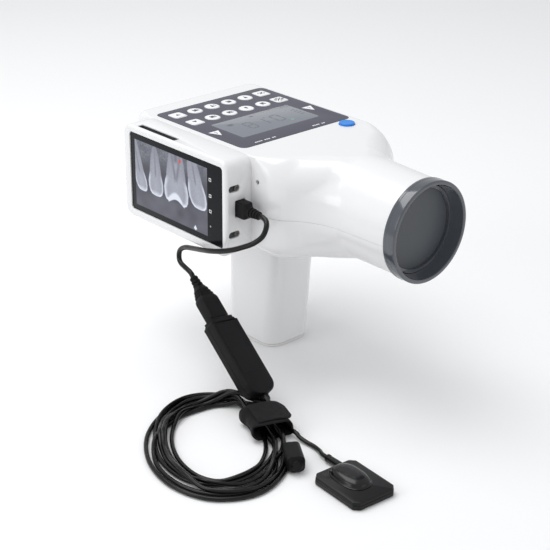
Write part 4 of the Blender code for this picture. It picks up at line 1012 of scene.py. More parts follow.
def printed(name, shapes, base, material, body, thick=PRINT_THICKNESS):
    """Flat printed marks a hair above a face; each shape is a list of (x, y) points."""
    shape = bmesh.new()
    for points in shapes:
        lower = [shape.verts.new((x, y, base)) for x, y in points]
        upper = [shape.verts.new((x, y, base + thick)) for x, y in points]
        shape.faces.new(list(reversed(lower)))
        shape.faces.new(upper)
        for index in range(len(points)):
            after = (index + 1) % len(points)
            shape.faces.new((lower[index], lower[after], upper[after], upper[index]))
    item = place(name, to_mesh(name, shape), material, body)
    return item


def bar(x, y, width, height, turn=0.0):
    corners = [(-width / 2, -height / 2), (width / 2, -height / 2),
               (width / 2, height / 2), (-width / 2, height / 2)]
    c, s = math.cos(turn), math.sin(turn)
    return [(x + c * a - s * b, y + s * a + c * b) for a, b in corners]


def tooth_mark(x, y, size, crown, roots, upside):
    """A small tooth: a broad crown and one to three roots."""
    flip = -1.0 if upside else 1.0
    points = [(-0.5, 0.1), (-0.42, -0.42), (0.0, -0.32), (0.42, -0.42), (0.5, 0.1)]
    if roots == 1:
        points += [(0.2, 0.55), (0.0, 1.0), (-0.2, 0.55)]
    elif roots == 2:
        points += [(0.42, 0.9), (0.28, 0.95), (0.0, 0.35), (-0.28, 0.95), (-0.42, 0.9)]
    else:
        points += [(0.48, 0.85), (0.32, 0.9), (0.16, 0.4), (0.0, 0.95),
                   (-0.16, 0.4), (-0.32, 0.9), (-0.48, 0.85)]
    return [(x + a * size * crown, y + (b - 0.25) * size * flip) for a, b in points]


def key_glyph(name):
    """The printed mark of a key, as a list of flat shapes."""
    x, y = middle_of(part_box(name))
    rear = name.startswith("key_rear")
    column = int(name[-1])
    unit = 0.0046
    if column == 1:
        sign = 1.0 if rear else -1.0
        return [[(x - unit * 0.52, y - sign * unit * 0.36), (x + unit * 0.52, y - sign * unit * 0.36),
                 (x, y + sign * unit * 0.44)][::int(sign)]]
    if column == 6:
        if rear:
            return [bar(x, y, unit * 1.5, unit * 0.16, 0.72), bar(x, y, unit * 1.5, unit * 0.16, -0.72),
                    bar(x, y + unit * 0.05, unit * 0.5, unit * 0.5, 0.78),
                    bar(x - unit * 0.8, y, unit * 0.14, unit * 0.5),
                    bar(x + unit * 0.8, y, unit * 0.14, unit * 0.5)]
        return [bar(x, y, unit * 2.1, unit * 0.2, 0.72), bar(x, y, unit * 2.1, unit * 0.2, -0.72),
                bar(x - unit * 0.85, y, unit * 0.5, unit * 0.5, 0.5),
                bar(x + unit * 0.85, y, unit * 0.5, unit * 0.5, 0.5),
                bar(x, y + unit * 0.75, unit * 0.5, unit * 0.3),
                bar(x, y - unit * 0.75, unit * 0.5, unit * 0.3)]
    roots = (2, 1, 3, 1)[column - 2] if rear else (3, 2, 1, 2)[column - 2]
    shapes = [tooth_mark(x, y, unit * 0.85, 1.15 if roots > 1 else 0.75, roots, not rear)]
    if column in (2, 3):
        shapes.append(bar(x + unit * 0.72, y, unit * 0.14, unit * 0.9))
    return shapes


RING_GROW = {False: 0.00055, True: 0.00080}       # printed white edge round round and square keys


def printed_rings(pairs):
    """White edges printed on the film round its keys."""
    top = FILM[1][2] - SINK
    shape = bmesh.new()
    for outer, inner in pairs:
        lines = [[shape.verts.new((x, y, z)) for x, y in points] for points, z in
                 ((outer, top), (outer, top + PRINT_THICKNESS), (inner, top + PRINT_THICKNESS), (inner, top))]
        for first, second in zip(lines, lines[1:] + lines[:1]):
            for index in range(len(first)):
                after = (index + 1) % len(first)
                shape.faces.new((first[index], first[after], second[after], second[index]))
    item = place("key_rings", to_mesh("rings", shape), PRINT_WHITE, UNIT)


def keys():
    """Key caps with their marks, each riding on its own key."""
    rings = []
    for name in key_nodes():
        low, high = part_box(name)
        top = high[2]
        mesh = rolled(name, key_outline(name, 0.0), low[2], top, 0.00035, 4)
        key = place(name + "_cap", mesh, KEY_WHITE, name, 30)
        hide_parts(name)
        rings.append([[(p.x, p.y) for p, n in key_outline(name, grow)]
                      for grow in (RING_GROW[is_square(name)], KEY_CLEARANCE)])
        printed(name + "_mark", key_glyph(name), top - SINK, PRINT_DARK, name)
    printed_rings(rings)


def film_marks():
    """Two arrows, each with a dark stroke and dot, and two rows of small dashes on the film."""
    top = FILM[1][2] - SINK
    shapes = []
    dark = []
    width = 0.0108
    for x, y in ((-0.0535, 0.0060), (0.0518, 0.0048)):
        shapes.append([(x + width / 2, y + width * 0.45), (x - width / 2, y + width * 0.45),
                       (x, y - width * 0.60)])
        dark.append(bar(x, y + 0.0002, 0.0010, 0.0030))
        dark.append(bar(x, y + 0.0029, 0.0010, 0.0010))
    left = FILM[0][0]
    for start, count in ((left + 0.018, 11), (left + 0.083, 7)):
        for index in range(count):
            if index not in (4, 8):
                shapes.append(bar(start + index * 0.0021, FILM[0][1] + 0.0052, 0.0014, 0.0016))
    printed("film_print", shapes, top, PRINT_WHITE, UNIT)
    printed("film_print_dark", dark, top + 0.00005, PRINT_DARK, UNIT)


def lcd():
    """The window's face with its seven-bar digits, read from the operator's side."""
    low, high = WINDOW
    middle = middle_of(WINDOW)
    outline = rounded_outline(rectangle(middle, high[0] - low[0], high[1] - low[1], 0.002), 6)
    face = place("lcd_face", rolled("lcd", outline, low[2], high[2], 0.00015, 2), LCD_BACK, UNIT, 30)
    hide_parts("lcd_window")
    shapes = []
    height = 0.0150
    width = 0.0078
    thick = 0.0011
    bars = {"a": (0, 1), "g": (0, 0), "d": (0, -1), "b": (1, 0.5),
            "f": (-1, 0.5), "c": (1, -0.5), "e": (-1, -0.5)}
    digits = {"0": "abcdef", "1": "bc", "8": "abcdefg"}

    def digit(character, x):
        y = middle[1] - 0.001
        for letter in digits[character]:
            across, along = bars[letter]
            if across == 0:
                shapes.append(bar(x, y + along * height / 2, width - thick * 1.6, thick))
            else:
                shapes.append(bar(x + across * width / 2, y + along * height / 2,
                                  thick, height / 2 - thick * 1.2))

    digit("0", middle[0] + 0.0010 + 0.012)
    shapes.append(bar(middle[0] + 0.0035, middle[1] + 0.0066, 0.0016, 0.0016))
    digit("1", middle[0] - 0.0045)
    digit("8", middle[0] - 0.0180)
    for index in range(4):
        shapes.append(bar(high[0] - 0.006, middle[1] - 0.006 + index * 0.0042, 0.0042, 0.0010))
    shapes.append(bar(middle[0] - 0.031, middle[1] + 0.010, 0.006, 0.0036))
    shapes.append(bar(middle[0] - 0.002, high[1] - 0.005, 0.0030, 0.0022))
    printed("lcd_digits", shapes, high[2] - SINK, LCD_INK, UNIT, SEGMENT_THICKNESS)
    turns = [step * math.pi / 8 for step in range(16)]
    spot = [(middle[0] + 0.020 + 0.0019 * math.cos(turn), middle[1] - 0.0125 + 0.0019 * math.sin(turn))
            for turn in turns]
    printed("lcd_spot", [spot], high[2] - SINK, LCD_GREEN, UNIT, SEGMENT_THICKNESS)


def exposure_button():
    """Round button with a flange under the deck and a slightly dished top."""
    low, high = BUTTON
    radius, edge = BUTTON_RADIUS, BUTTON_EDGE
    flange = (high[0] - low[0]) / 2
    shoulder = low[2] + 0.0022
    top = high[2]
    profile = [(0.0, low[2]), (flange, low[2]), (flange, shoulder), (radius, shoulder), (radius, top - edge)]
    for step in range(1, 6):
        angle = math.pi / 2 * step / 5
        profile.append((radius - edge * (1 - math.cos(angle)), top - edge * (1 - math.sin(angle))))
    for step in range(1, 5):
        share = step / 5
        profile.append(((radius - edge) * (1 - share), top - BUTTON_DISH * math.sin(share * math.pi / 2)))
    profile.append((0.0, top - BUTTON_DISH))
    mesh = turned("button", profile, (*middle_of(BUTTON), 0), (0, 0, 1), 96)
    button = place("exposure_button_cap", mesh, BLUE, "exposure_button", 30)
    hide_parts("exposure_button")


keypad_film()
keys()
film_marks()
lcd()
exposure_button()


# ---- screen housing -----------------------------------------------------------------
def side_rings(outline, low, high, edge, levels):
    """A plate across x, drawn in (y, z); its -X rim is rolled over."""
    return rolled("plate", outline, -high, -low, edge, levels, 0.0, lambda a, b, c: (-c, a, b))


def side_plate(box, grow, corner, steps):
    """Rounded outline of a box's side face, in (y, z)."""
    low, high = box
    middle = ((low[1] + high[1]) / 2, (low[2] + high[2]) / 2)
    return rounded_outline(rectangle(middle, high[1] - low[1] + grow, high[2] - low[2] + grow, corner), steps)


def end_plate(name, outline, first, second):
    """A plate between two places along y, drawn in (x, z)."""
    return loft(name, [[(p.x, y, p.y) for p, n in outline] for y in (first, second)])


def screen_housing():
    """Case with its inner room, glass opening, port, screw recesses and vent slot."""
    low, high = HOUSING
    face, back = low[0], -HALF_WIDTH - FINE
    mesh = side_rings(side_plate(HOUSING, 0.0, HOUSING_CORNER, 10), face, back, HOUSING_EDGE, 6)
    room = side_plate(HOUSING, -2 * WALL, 0.0064, 6)
    opening = side_plate(GLASS, 0.0004, 0.0032, 6)
    tools = [side_rings(room, face + WALL, back + 0.02, 0.0005, 1),
             side_rings(opening, face - 0.01, face + 0.01, 0.0001, 1)]
    front = low[1]
    width, height = PORT_SIZE
    tools.append(block("port", (PORT_X - width / 2, front - 0.01, PORT_Z - height / 2),
                       (PORT_X + width / 2, front + 0.006, PORT_Z + height / 2), 0.0008, 2))
    for z in RECESS_HEIGHTS:
        recess = rounded_outline(rectangle((RECESS_X, z), 0.0118, 0.0058, 0.00285), 10)
        tools.append(end_plate("recess", recess, front + RECESS_DEPTH, front - 0.01))
        tools.append(rod("pilot", 0.0014, 0.02, (PILOT_X, front + 0.001, z), (0, 1, 0), 32))
    slot = rounded_outline(rectangle(VENT_MIDDLE, *VENT_SLOT, 0.0012), 5)
    tools.append(prism("vent", slot, high[2] - 0.0045, high[2] + 0.01))
    mesh = cut(mesh, *tools)
    mesh = bevelled(mesh, 0.00035, 2, 50.0)
    housing = place("screen_housing_case", mesh, WHITE, UNIT, 32)
    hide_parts("screen_housing")


def paint_recess_shade():
    """Painted shade: dark sheets at the bottom of the two screw recesses and just behind the reset hole,
    standing in for the shade in them.
    """
    front = HOUSING[0][1]
    shade_pieces = []
    for z in RECESS_HEIGHTS:
        shade_outline = rounded_outline(rectangle((RECESS_X, z), 0.0114, 0.0054, 0.00265), 10)
        shade_pieces.append(end_plate("shade_outline", shade_outline, front + RECESS_DEPTH - FINE, front + 0.00165))
    shade_pieces.append(rod("reset", 0.0024, 0.0006, (-HALF_WIDTH + 0.0030, *RESET_PLACE), (-1, 0, 0), 32))
    # these dark sheets are painted shade, not real parts
    item = place("recess_painted_shade", join_meshes("recess_shade", shade_pieces), DARK_PLASTIC_AND_SHADE, UNIT, 30)


def vent():
    """A frame with slats in the slot."""
    low = Vector(VENT[0]) - VENT_GROWTH
    high = Vector(VENT[1]) + VENT_GROWTH
    middle = middle_of((low, high))
    width, length = high[0] - low[0], high[1] - low[1]
    mesh = prism("grille", rounded_outline(rectangle(middle, width, length, 0.001), 4), low[2], high[2])
    inner = rounded_outline(rectangle(middle, width - 0.0012, length - 0.0014, 0.0005), 3)
    mesh = cut(mesh, prism("inner", inner, low[2] - 0.01, high[2] + 0.01))
    slat = block("slat", (low[0] + 0.0003, -0.00045, low[2] + 0.0001),
                 (high[0] - 0.0003, 0.00045, high[2] - 0.0002), 0.00012, 1)
    pitch = length / (SLATS + 1)
    slats = repeated("slats", slat, SLATS, (0, pitch, 0), (0, low[1] + pitch, 0), DARK_PLASTIC_AND_SHADE)
    grille = place("vent_slats", join_meshes("vent", [mesh, slats]), DARK_PLASTIC_AND_SHADE, UNIT, 30)
    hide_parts("vent_grille")


def repeated(name, mesh, count, step, start, material):
    """Copies of a mesh in a row, by Geometry Nodes."""
    tree = bpy.data.node_groups.new(name, "GeometryNodeTree")
    for label, kind in (("Geometry", "Geometry"), ("Count", "Int"), ("Step", "Vector"), ("Start", "Vector"),
                        ("Material", "Material")):
        tree.interface.new_socket(label, in_out="INPUT", socket_type="NodeSocket" + kind)
    tree.interface.new_socket("Geometry", in_out="OUTPUT", socket_type="NodeSocketGeometry")
    source = tree.nodes.new("NodeGroupInput")
    result = tree.nodes.new("NodeGroupOutput")
    line = tree.nodes.new("GeometryNodeMeshLine")
    line.mode = "OFFSET"
    copies = tree.nodes.new("GeometryNodeInstanceOnPoints")
    real = tree.nodes.new("GeometryNodeRealizeInstances")
    finish = tree.nodes.new("GeometryNodeSetMaterial")
    for giver, output, taker, socket in (
            (source, "Count", line, "Count"), (source, "Step", line, "Offset"),
            (source, "Start", line, "Start Location"), (line, "Mesh", copies, "Points"),
            (source, "Geometry", copies, "Instance"), (copies, "Instances", real, "Geometry"),
            (real, "Geometry", finish, "Geometry"), (source, "Material", finish, "Material"),
            (finish, "Geometry", result, "Geometry")):
        tree.links.new(giver.outputs[output], taker.inputs[socket])
    item = loose(name, mesh)
    modifier = item.modifiers.new("copies", "NODES")
    modifier.node_group = tree
    values = {"Count": count, "Step": step, "Start": start, "Material": material}
    for socket in tree.interface.items_tree:
        if socket.item_type == "SOCKET" and socket.in_out == "INPUT" and socket.name in values:
            modifier[socket.identifier] = values[socket.name]
    return plain(item)


# ---- the radiograph on the screen -------------------------------------------------
def tooth(u, v, middle, half, crown, neck, apex, lean, cusps, roots):
    """Cover and shade of one tooth; crown edge, neck and root end are heights from 0 to 1."""
    height = np.clip((v - neck) / (apex - neck), 0.0, 1.0)
    depth = np.clip((neck - v) / (neck - crown), -1.0, 1.0)
    centre = middle + lean * (v - neck)
    root_width = half * (0.80 - 0.50 * height ** 1.3) * np.sqrt(np.clip(1.0 - height ** 8, 0.0, 1.0))
    bulge = np.interp(depth, (0.0, 0.15, 0.40, 0.65, 0.85, 0.95, 1.0),
                      (0.80, 0.88, 1.0, 0.98, 0.82, 0.58, 0.0))
    width = np.where(v > neck, root_width, half * bulge)
    if cusps == 2:
        width = np.where(v > neck, root_width,
                         half * np.interp(depth, (0.0, 0.2, 0.5, 0.8, 0.95, 1.0),
                                          (0.78, 0.90, 1.0, 0.96, 0.84, 0.66)))
    across = np.abs(u - centre)
    cover = np.clip((width - across) / 0.010 + 0.5, 0.0, 1.0)
    low = crown + (0.050 * np.cos((u - centre) / half * math.pi) if cusps == 2 else 0.0)
    cover = cover * np.clip((v - low) / 0.012, 0.0, 1.0) * (v < apex)
    inside = np.clip((width - across) / half, 0.0, 1.0)
    edge = np.clip(1.0 - inside / 0.30, 0.0, 1.0) * np.clip(depth / 0.25 + 0.1, 0.0, 1.0)
    tip = np.clip(1.0 - (v - low) / 0.085, 0.0, 1.0)
    filling = np.zeros_like(u)
    if cusps == 2:
        filling = np.clip(1.2 - np.hypot((u - centre + half * 0.15) / (half * 0.62),
                                         (v - low - 0.045) / 0.075) ** 2, 0.0, 1.0)
    shade = 0.66 + 0.06 * inside - 0.07 * height + 0.34 * np.clip(edge + tip + filling, 0.0, 1.0)
    canal = np.zeros_like(u)
    for side in ((0.0,) if roots == 1 else (-0.42, 0.42)):
        path = centre + side * half * np.clip(height * 1.2 + 0.15, 0.0, 1.0)
        canal = np.maximum(canal, np.exp(-((u - path) / (half * 0.10)) ** 2))
    shade = shade - 0.17 * canal * np.clip((0.22 - depth) / 0.2, 0.0, 1.0) * np.clip(1.1 - height, 0.0, 1.0)
    if roots == 2:
        fork = np.clip((height - 0.34) / 0.10, 0.0, 1.0) * np.exp(-((u - centre) / (half * 0.17)) ** 2)
        shade = shade - 0.20 * fork
    return cover, shade


# middle, half width, crown edge, neck, root end, lean, cusps and roots of each tooth
TEETH = (
    (0.055, 0.082, 0.245, 0.56, 1.20, -0.16, 1, 1),
    (0.290, 0.103, 0.255, 0.60, 1.02, -0.02, 1, 1),
    (0.578, 0.168, 0.275, 0.66, 1.25, 0.00, 2, 2),
    (0.838, 0.118, 0.335, 0.74, 1.20, -0.15, 1, 1),
)


def radiograph(u, v):
    """Grey value of the radiograph, u across and v up, both 0 to 1."""
    def clouds(across, upward, layer):
        values = [noise.noise(Vector((a * across, b * upward, layer))) for a, b in zip(u.ravel(), v.ravel())]
        return np.array(values).reshape(u.shape)

    grain = clouds(55, 38, 0.0)
    coarse = clouds(8, 6, 3.0)
    crest = 0.60 + 0.12 * u
    bone = np.clip((v - crest) / 0.22, 0.0, 1.0)
    value = 0.27 + 0.05 * coarse + bone * (0.24 + 0.07 * coarse + 0.12 * grain)
    gum = np.clip((crest - 0.30 - v) / 0.10, 0.0, 1.0)
    folds = 0.06 * np.sin(u * 9.0 + 1.0) * np.clip(v / 0.3, 0, 1)
    value = value * (1.0 - gum) + (0.34 + 0.08 * coarse - folds) * gum
    value = value - 0.10 * np.exp(-((u - 0.62) / 0.06) ** 2 - ((v - 0.16) / 0.07) ** 2)
    for shape in TEETH:
        cover, shade = tooth(u, v, *shape)
        near = np.exp(-((u - shape[0]) / (shape[1] * 1.35)) ** 4) * np.clip((v - shape[2]) / 0.06, 0.0, 1.0)
        value = value - 0.05 * near
        value = value * (1.0 - cover) + (shade + 0.035 * grain + 0.03 * coarse) * cover
    spot = np.clip(1.0 - (np.abs(u - 0.835) / 0.030 + np.abs(v - 0.045 + 0.6 * np.abs(u - 0.835)) / 0.05),
                   0.0, 1.0)
    value = np.maximum(value, np.clip(spot * 3.0, 0.0, 1.0))
    return np.clip(value, 0.0, 1.0)


def picture_material():
    material, tree, shader = new_material("screen_picture", (0.0, 0.0, 0.0), 0.25, 0.0, 0.3)
    attribute = tree.nodes.new("ShaderNodeAttribute")
    attribute.attribute_name = "picture"
    tree.links.new(attribute.outputs["Color"], shader.inputs["Emission Color"])
    shader.inputs["Emission Strength"].default_value = 0.85
    return material


def screen():
    """Glass with the lit radiograph on its face, and the small marks beside it."""
    low, high = GLASS
    face = low[0]
    pane = side_rings(side_plate(GLASS, 0.0, 0.003, 8), face, high[0], 0.0004, 3)
    glass = place("screen_glass_pane", pane, GLASS_BLACK, UNIT, 30)
    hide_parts("screen_glass")
    left, right = PICTURE_Y
    bottom, top = PICTURE_Z
    columns, rows = PICTURE_GRID
    shape = bmesh.new()
    across = np.linspace(left, right, columns)
    upward = np.linspace(bottom, top, rows)
    grid = [[shape.verts.new((face - 0.00002, y, z)) for y in across] for z in upward]
    for row in range(rows - 1):
        for column in range(columns - 1):
            shape.faces.new((grid[row][column], grid[row + 1][column],
                             grid[row + 1][column + 1], grid[row][column + 1]))
    rear = [shape.verts.new((face + 0.00025, y, z))
            for y, z in ((left, bottom), (right, bottom), (right, top), (left, top))]
    shape.faces.new(rear)
    edges = [[grid[0][c] for c in range(columns)], [grid[r][columns - 1] for r in range(rows)],
             [grid[rows - 1][c] for c in range(columns - 1, -1, -1)],
             [grid[r][0] for r in range(rows - 1, -1, -1)]]
    for index, line in enumerate(edges):
        shape.faces.new([*line, rear[(index + 1) % 4], rear[index]])
    mesh = to_mesh("picture", shape)
    u, v = np.meshgrid(np.linspace(0, 1, columns), np.linspace(0, 1, rows))
    # u runs with y, and the face is seen from -X, where y grows to the left
    grey = radiograph(1.0 - u, v)
    colour = np.ones((len(mesh.vertices), 4), dtype=np.float32)
    colour[:, :3] = 0.0
    flat = grey.reshape(-1)
    count = columns * rows
    linear = flat ** 2.35
    colour[:count, 0] = linear * 0.84
    colour[:count, 1] = linear * 0.89
    colour[:count, 2] = np.clip(linear * 1.02 + 0.022, 0, 1)
    dot = (np.hypot((1.0 - u - 0.637) * 1.62 * 1.25, v - 0.935) < 0.030).reshape(-1)
    colour[:count][dot] = (0.80, 0.02, 0.03, 1.0)
    attribute = mesh.color_attributes.new("picture", "FLOAT_COLOR", "POINT")
    attribute.data.foreach_set("color", colour.reshape(-1))
    picture = place("screen_picture_face", mesh, picture_material(), UNIT)
    marks = []
    y = left - 0.0036
    for z, size in SYMBOLS:
        marks.append([(y - size, z - size), (y + size, z - size), (y + size, z + size), (y - size, z + size)])
    shape = bmesh.new()
    for points in marks:
        centre = sum(b for a, b in points) / 4
        inner = [((a - y) * 0.6 + y, (b - centre) * 0.6 + centre) for a, b in points]
        outer_verts = [shape.verts.new((face - 0.00003, a, b)) for a, b in points]
        inner_verts = [shape.verts.new((face - 0.00003, a, b)) for a, b in inner]
        rear_outer = [shape.verts.new((face + 0.0002, a, b)) for a, b in points]
        rear_inner = [shape.verts.new((face + 0.0002, a, b)) for a, b in inner]
        for k in range(4):
            m = (k + 1) % 4
            shape.faces.new((outer_verts[k], outer_verts[m], inner_verts[m], inner_verts[k]))
            shape.faces.new((rear_outer[k], rear_inner[k], rear_inner[m], rear_outer[m]))
            shape.faces.new((outer_verts[k], rear_outer[k], rear_outer[m], outer_verts[m]))
            shape.faces.new((inner_verts[k], inner_verts[m], rear_inner[m], rear_inner[k]))
    symbols = place("screen_symbols", to_mesh("symbols", shape), PRINT_WHITE, UNIT)


screen_housing()
# painted shade in the two screw recesses and behind the reset hole
paint_recess_shade()
vent()
screen()


# ---- plug, socket and adapter ------------------------------------------------------
def box_rings(stations, corner, steps=6):
    """Lofts rounded rectangles along Z from (along, width, thickness) stations."""
    rings = []
    for along, width, thick in stations:
        radius = min(corner, width * 0.49, thick * 0.49)
        rings.append(at_height(rounded_outline(rectangle((0, 0), width, thick, radius), steps), along))
    return loft("box_rings", rings)


def usb_plug():
    """Plug moulding with a ribbed strain relief, and its metal tongue in the port."""
    front = HOUSING[0][1]
    facing = Matrix(((1, 0, 0), (0, 0, -1), (0, 1, 0))).to_4x4()
    frame_matrix = Matrix.Translation((PORT_X, front, PORT_Z)) @ facing
    width, height = 0.0100, 0.0137
    stations = [(-0.0018, width - 0.0012, height - 0.0012), (-0.0014, width - 0.0003, height - 0.0003),
                (-0.0008, width, height),
                (0.0085, width, height), (0.0098, width - 0.0006, height - 0.0006),
                (0.0116, width - 0.0030, height - 0.0042),
                (0.0125, width - 0.0038, height - 0.0056), (0.0126, width - 0.0044, height - 0.0062)]
    body = box_rings(stations, 0.0014, 5)
    relief = []
    for index in range(4):
        start = 0.0124 + index * 0.0030
        radius = 0.0043 - index * 0.00028
        relief += [(radius - 0.0003, start), (radius, start + 0.0003), (radius, start + 0.0017),
                   (radius - 0.0003, start + 0.0020), (radius - 0.0009, start + 0.0021),
                   (radius - 0.0009, start + 0.0029)]
    profile = [(0.0, 0.0120)] + relief + [(0.0024, 0.0246), (0.0, 0.0246)]
    neck = turned("neck", profile, (0, 0, 0), (0, 0, 1), 40)
    tongue = block("tongue", (-0.0022, -0.0060, -0.0120), (0.0022, 0.0060, -0.0010), 0.0004, 2)
    mesh = moved(join_meshes("plug", [body, neck]), frame_matrix)
    plug = place("usb_plug_moulding", mesh, BLACK, UNIT, 30)
    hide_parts("usb_plug")
    shell = place("usb_plug_shell", moved(tongue, frame_matrix), STEEL, UNIT, 30)
    return plug


def usb_socket():
    """Moulded socket that swells in ribbed steps from its strain relief."""
    width, thick, length = SOCKET_SIZE
    start = RELIEF_LENGTH
    stations = [(start - 0.0010, width * 0.42, thick * 0.62),
                (start, width * 0.46, thick * 0.70), (start + 0.0015, width * 0.50, thick * 0.76)]
    for index in range(3):
        along = start + 0.0030 + index * 0.0026
        share = 0.60 + index * 0.10
        stations += [(along, width * share, thick * (0.84 + 0.04 * index)),
                     (along + 0.0012, width * (share + 0.02), thick * (0.86 + 0.04 * index)),
                     (along + 0.0014, width * (share - 0.02), thick * (0.80 + 0.04 * index)),
                     (along + 0.0024, width * (share + 0.05), thick * (0.81 + 0.04 * index))]
    stations += [(start + 0.0125, width * 0.96, thick * 0.98),
                 (start + 0.0145, width, thick), (start + length - 0.0010, width, thick),
                 (start + length - 0.0002, width - 0.0008, thick - 0.0008),
                 (start + length, width - 0.0014, thick - 0.0014)]
    body = box_rings(stations, 0.0022, 6)
    relief = [(0.0, -0.0005), (0.0029, -0.0005)]
    for index in range(3):
        along = index * 0.0034
        radius = 0.0036 + index * 0.00035
        relief += [(radius - 0.0002, along), (radius, along + 0.0002), (radius, along + 0.0018),
                   (radius - 0.0002, along + 0.0020), (0.0030, along + 0.0021), (0.0030, along + 0.0033)]
    relief += [(0.0030, 0.0105), (0.0, 0.0105)]
    neck = turned("relief", relief, (0, 0, 0), (0, 0, 1), 36)
    mesh = moved(join_meshes("socket", [body, neck]), CHAIN)
    socket = place("usb_socket_moulding", mesh, BLACK, UNIT, 30)
    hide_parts("usb_socket")
    return socket


def adapter():
    """Adapter case: a stepped collar at its plug end, a rounded lower end and a seam round it."""
    width, thick = ADAPTER_SIZE
    start = RELIEF_LENGTH + SOCKET_SIZE[2] + GAP
    end = ADAPTER_END
    corner = 0.0105
    plan = rounded_outline([(-width / 2, start + 0.0042, 0.0010), (width / 2, start + 0.0042, 0.0010),
                            (width / 2, end, corner), (-width / 2, end, corner)], 12)
    halves = []
    seam = 0.00025
    for side in (1, -1):
        rings = []
        edge = 0.0022
        for level in range(6):
            angle = math.pi / 2 * level / 5
            inset = edge * (1 - math.cos(angle))
            height = thick / 2 - edge * (1 - math.sin(angle))
            rings.append([(p.x - n.x * inset, side * height, p.y - n.y * inset) for p, n in plan])
        first = [(p.x - n.x * 0.0003, side * 0.00006, p.y - n.y * 0.0003) for p, n in plan]
        second = [(p.x, side * (0.00006 + seam), p.y) for p, n in plan]
        halves.append(loft("half", [first, second, *rings]))
    collar = box_rings([(start + 0.0003, width * 0.80, thick * 0.80),
                        (start + 0.0006, width * 0.84, thick * 0.84),
                        (start + 0.0030, width * 0.84, thick * 0.84),
                        (start + 0.0031, width * 0.90, thick * 0.92),
                        (start + 0.0050, width * 0.90, thick * 0.92)], 0.0022, 5)
    boss = turned("boss", [(0.0, end - 0.004), (0.0050, end - 0.004),
                           (0.0052, end - 0.0006), (0.0048, end), (0.0040, end + 0.0002),
                           (0.0038, end + 0.0040), (0.0034, end + 0.0050), (0.0, end + 0.0050)],
                  (0.002, 0, 0), (0, 0, 1), 40)
    lid_outline = rounded_outline([(-width / 2 + 0.0030, start + 0.0080, 0.0010),
                                   (width / 2 - 0.0030, start + 0.0080, 0.0010),
                                   (width / 2 - 0.0030, end - 0.0210, 0.0010),
                                   (-width / 2 + 0.0030, end - 0.0210, 0.0010)], 4)
    lid = loft("lid", [[(p.x, side, p.y) for p, n in lid_outline]
                       for side in (thick / 2 - 0.0008, thick / 2 + 0.00018)])
    under = loft("under", [[(p.x, side, p.y) for p, n in lid_outline]
                           for side in (-thick / 2 - 0.00018, -thick / 2 + 0.0008)])
    mesh = moved(join_meshes("adapter", [*halves, collar, boss, lid, under]), CHAIN)
    case = place("sensor_adapter_case", mesh, BLACK, UNIT, 30)
    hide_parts("sensor_adapter")
    tongue = moved(block("link", (-0.0060, -0.0022, start - 0.0040),
                         (0.0060, 0.0022, start + 0.0008), 0.0003, 1), CHAIN)
    link = place("adapter_plug_shell", tongue, STEEL, UNIT, 30)
    return case


def strap():
    """Hook and loop tape round the turns, with a lifted tab."""
    width, length, height = STRAP_SIZE
    frame_matrix = Matrix.Translation(STRAP_MIDDLE) @ Matrix.Rotation(STRAP_TURN, 4, "Z")
    steps = 72
    rows = 25
    thickness = 0.0013
    shape = bmesh.new()
    grid = []
    for row in range(rows):
        share = row / (rows - 1)
        along = (share - 0.5) * length * 0.98
        flare = 1.0 + 0.05 * math.cos(share * 2 * math.pi) + 0.012 * math.sin(share * 17)
        line = []
        for step in range(steps):
            angle = 2 * math.pi * step / steps
            c, s = math.cos(angle), math.sin(angle)
            power = 0.62
            x = (width / 2 - 0.0016) * math.copysign(abs(c) ** power, c) * flare
            squared = math.copysign(abs(s) ** power, s)
            z = height / 2 + 0.0002 + (height / 2 - 0.0008) * squared * (flare if s > 0 else 1.0)
            skew = 0.004 * s * (share - 0.5)
            ripple = 0.0005 * noise.noise(Vector((x * 160, along * 160, s * 2)))
            edge = 0.0011 * math.sin(angle * 3 + row) * (1 if row in (0, rows - 1) else 0)
            line.append(shape.verts.new((x + ripple + skew, along + edge, max(z + ripple, 0.0008))))
        grid.append(line)
    for lower, upper in zip(grid, grid[1:]):
        for step in range(steps):
            after = (step + 1) % steps
            shape.faces.new((lower[step], lower[after], upper[after], upper[step]))
    mesh = to_mesh("band", shape)
    band = loose("band", mesh)
    wall = band.modifiers.new("wall", "SOLIDIFY")
    wall.thickness = thickness
    wall.offset = -1.0
    smooth = band.modifiers.new("smooth", "SUBSURF")
    smooth.levels = 1
    smooth.render_levels = 1
    band = plain(band)
    flap = bmesh.new()
    lines = []
    for row in range(13):
        share = row / 12
        along = (share - 0.5) * length * 0.86 + 0.0008 * math.sin(share * 9)
        line = []
        for step in range(20):
            t = step / 19
            angle = math.radians(118 - 96 * t)
            power = 0.62
            x = (width / 2 + 0.0002) * math.copysign(abs(math.cos(angle)) ** power, math.cos(angle))
            z = height / 2 + (height / 2 + 0.0006) * abs(math.sin(angle)) ** power
            lift = 0.0016 * max(t - 0.80, 0.0) / 0.20
            x += lift
            ripple = 0.0005 * noise.noise(Vector((x * 200, along * 200, 5.0)))
            rounding = 1.0 - 0.10 * t * t - 0.45 * (max(t - 0.72, 0.0) / 0.28) ** 2
            line.append(flap.verts.new((x, along * rounding, z + ripple + lift * 0.5)))
        lines.append(line)
    for lower, upper in zip(lines, lines[1:]):
        for step in range(19):
            flap.faces.new((lower[step], lower[step + 1], upper[step + 1], upper[step]))
    tab = loose("tab", to_mesh("tab", flap))
    wall = tab.modifiers.new("wall", "SOLIDIFY")
    wall.thickness = 0.0011
    wall.offset = 0.0
    smooth = tab.modifiers.new("smooth", "SUBSURF")
    smooth.levels = 1
    smooth.render_levels = 1
    mesh = moved(join_meshes("strap", [band, plain(tab)]), frame_matrix)
    item = place("cable_strap_tape", mesh, STRAP, UNIT, 60)
    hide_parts("cable_strap")
    return item


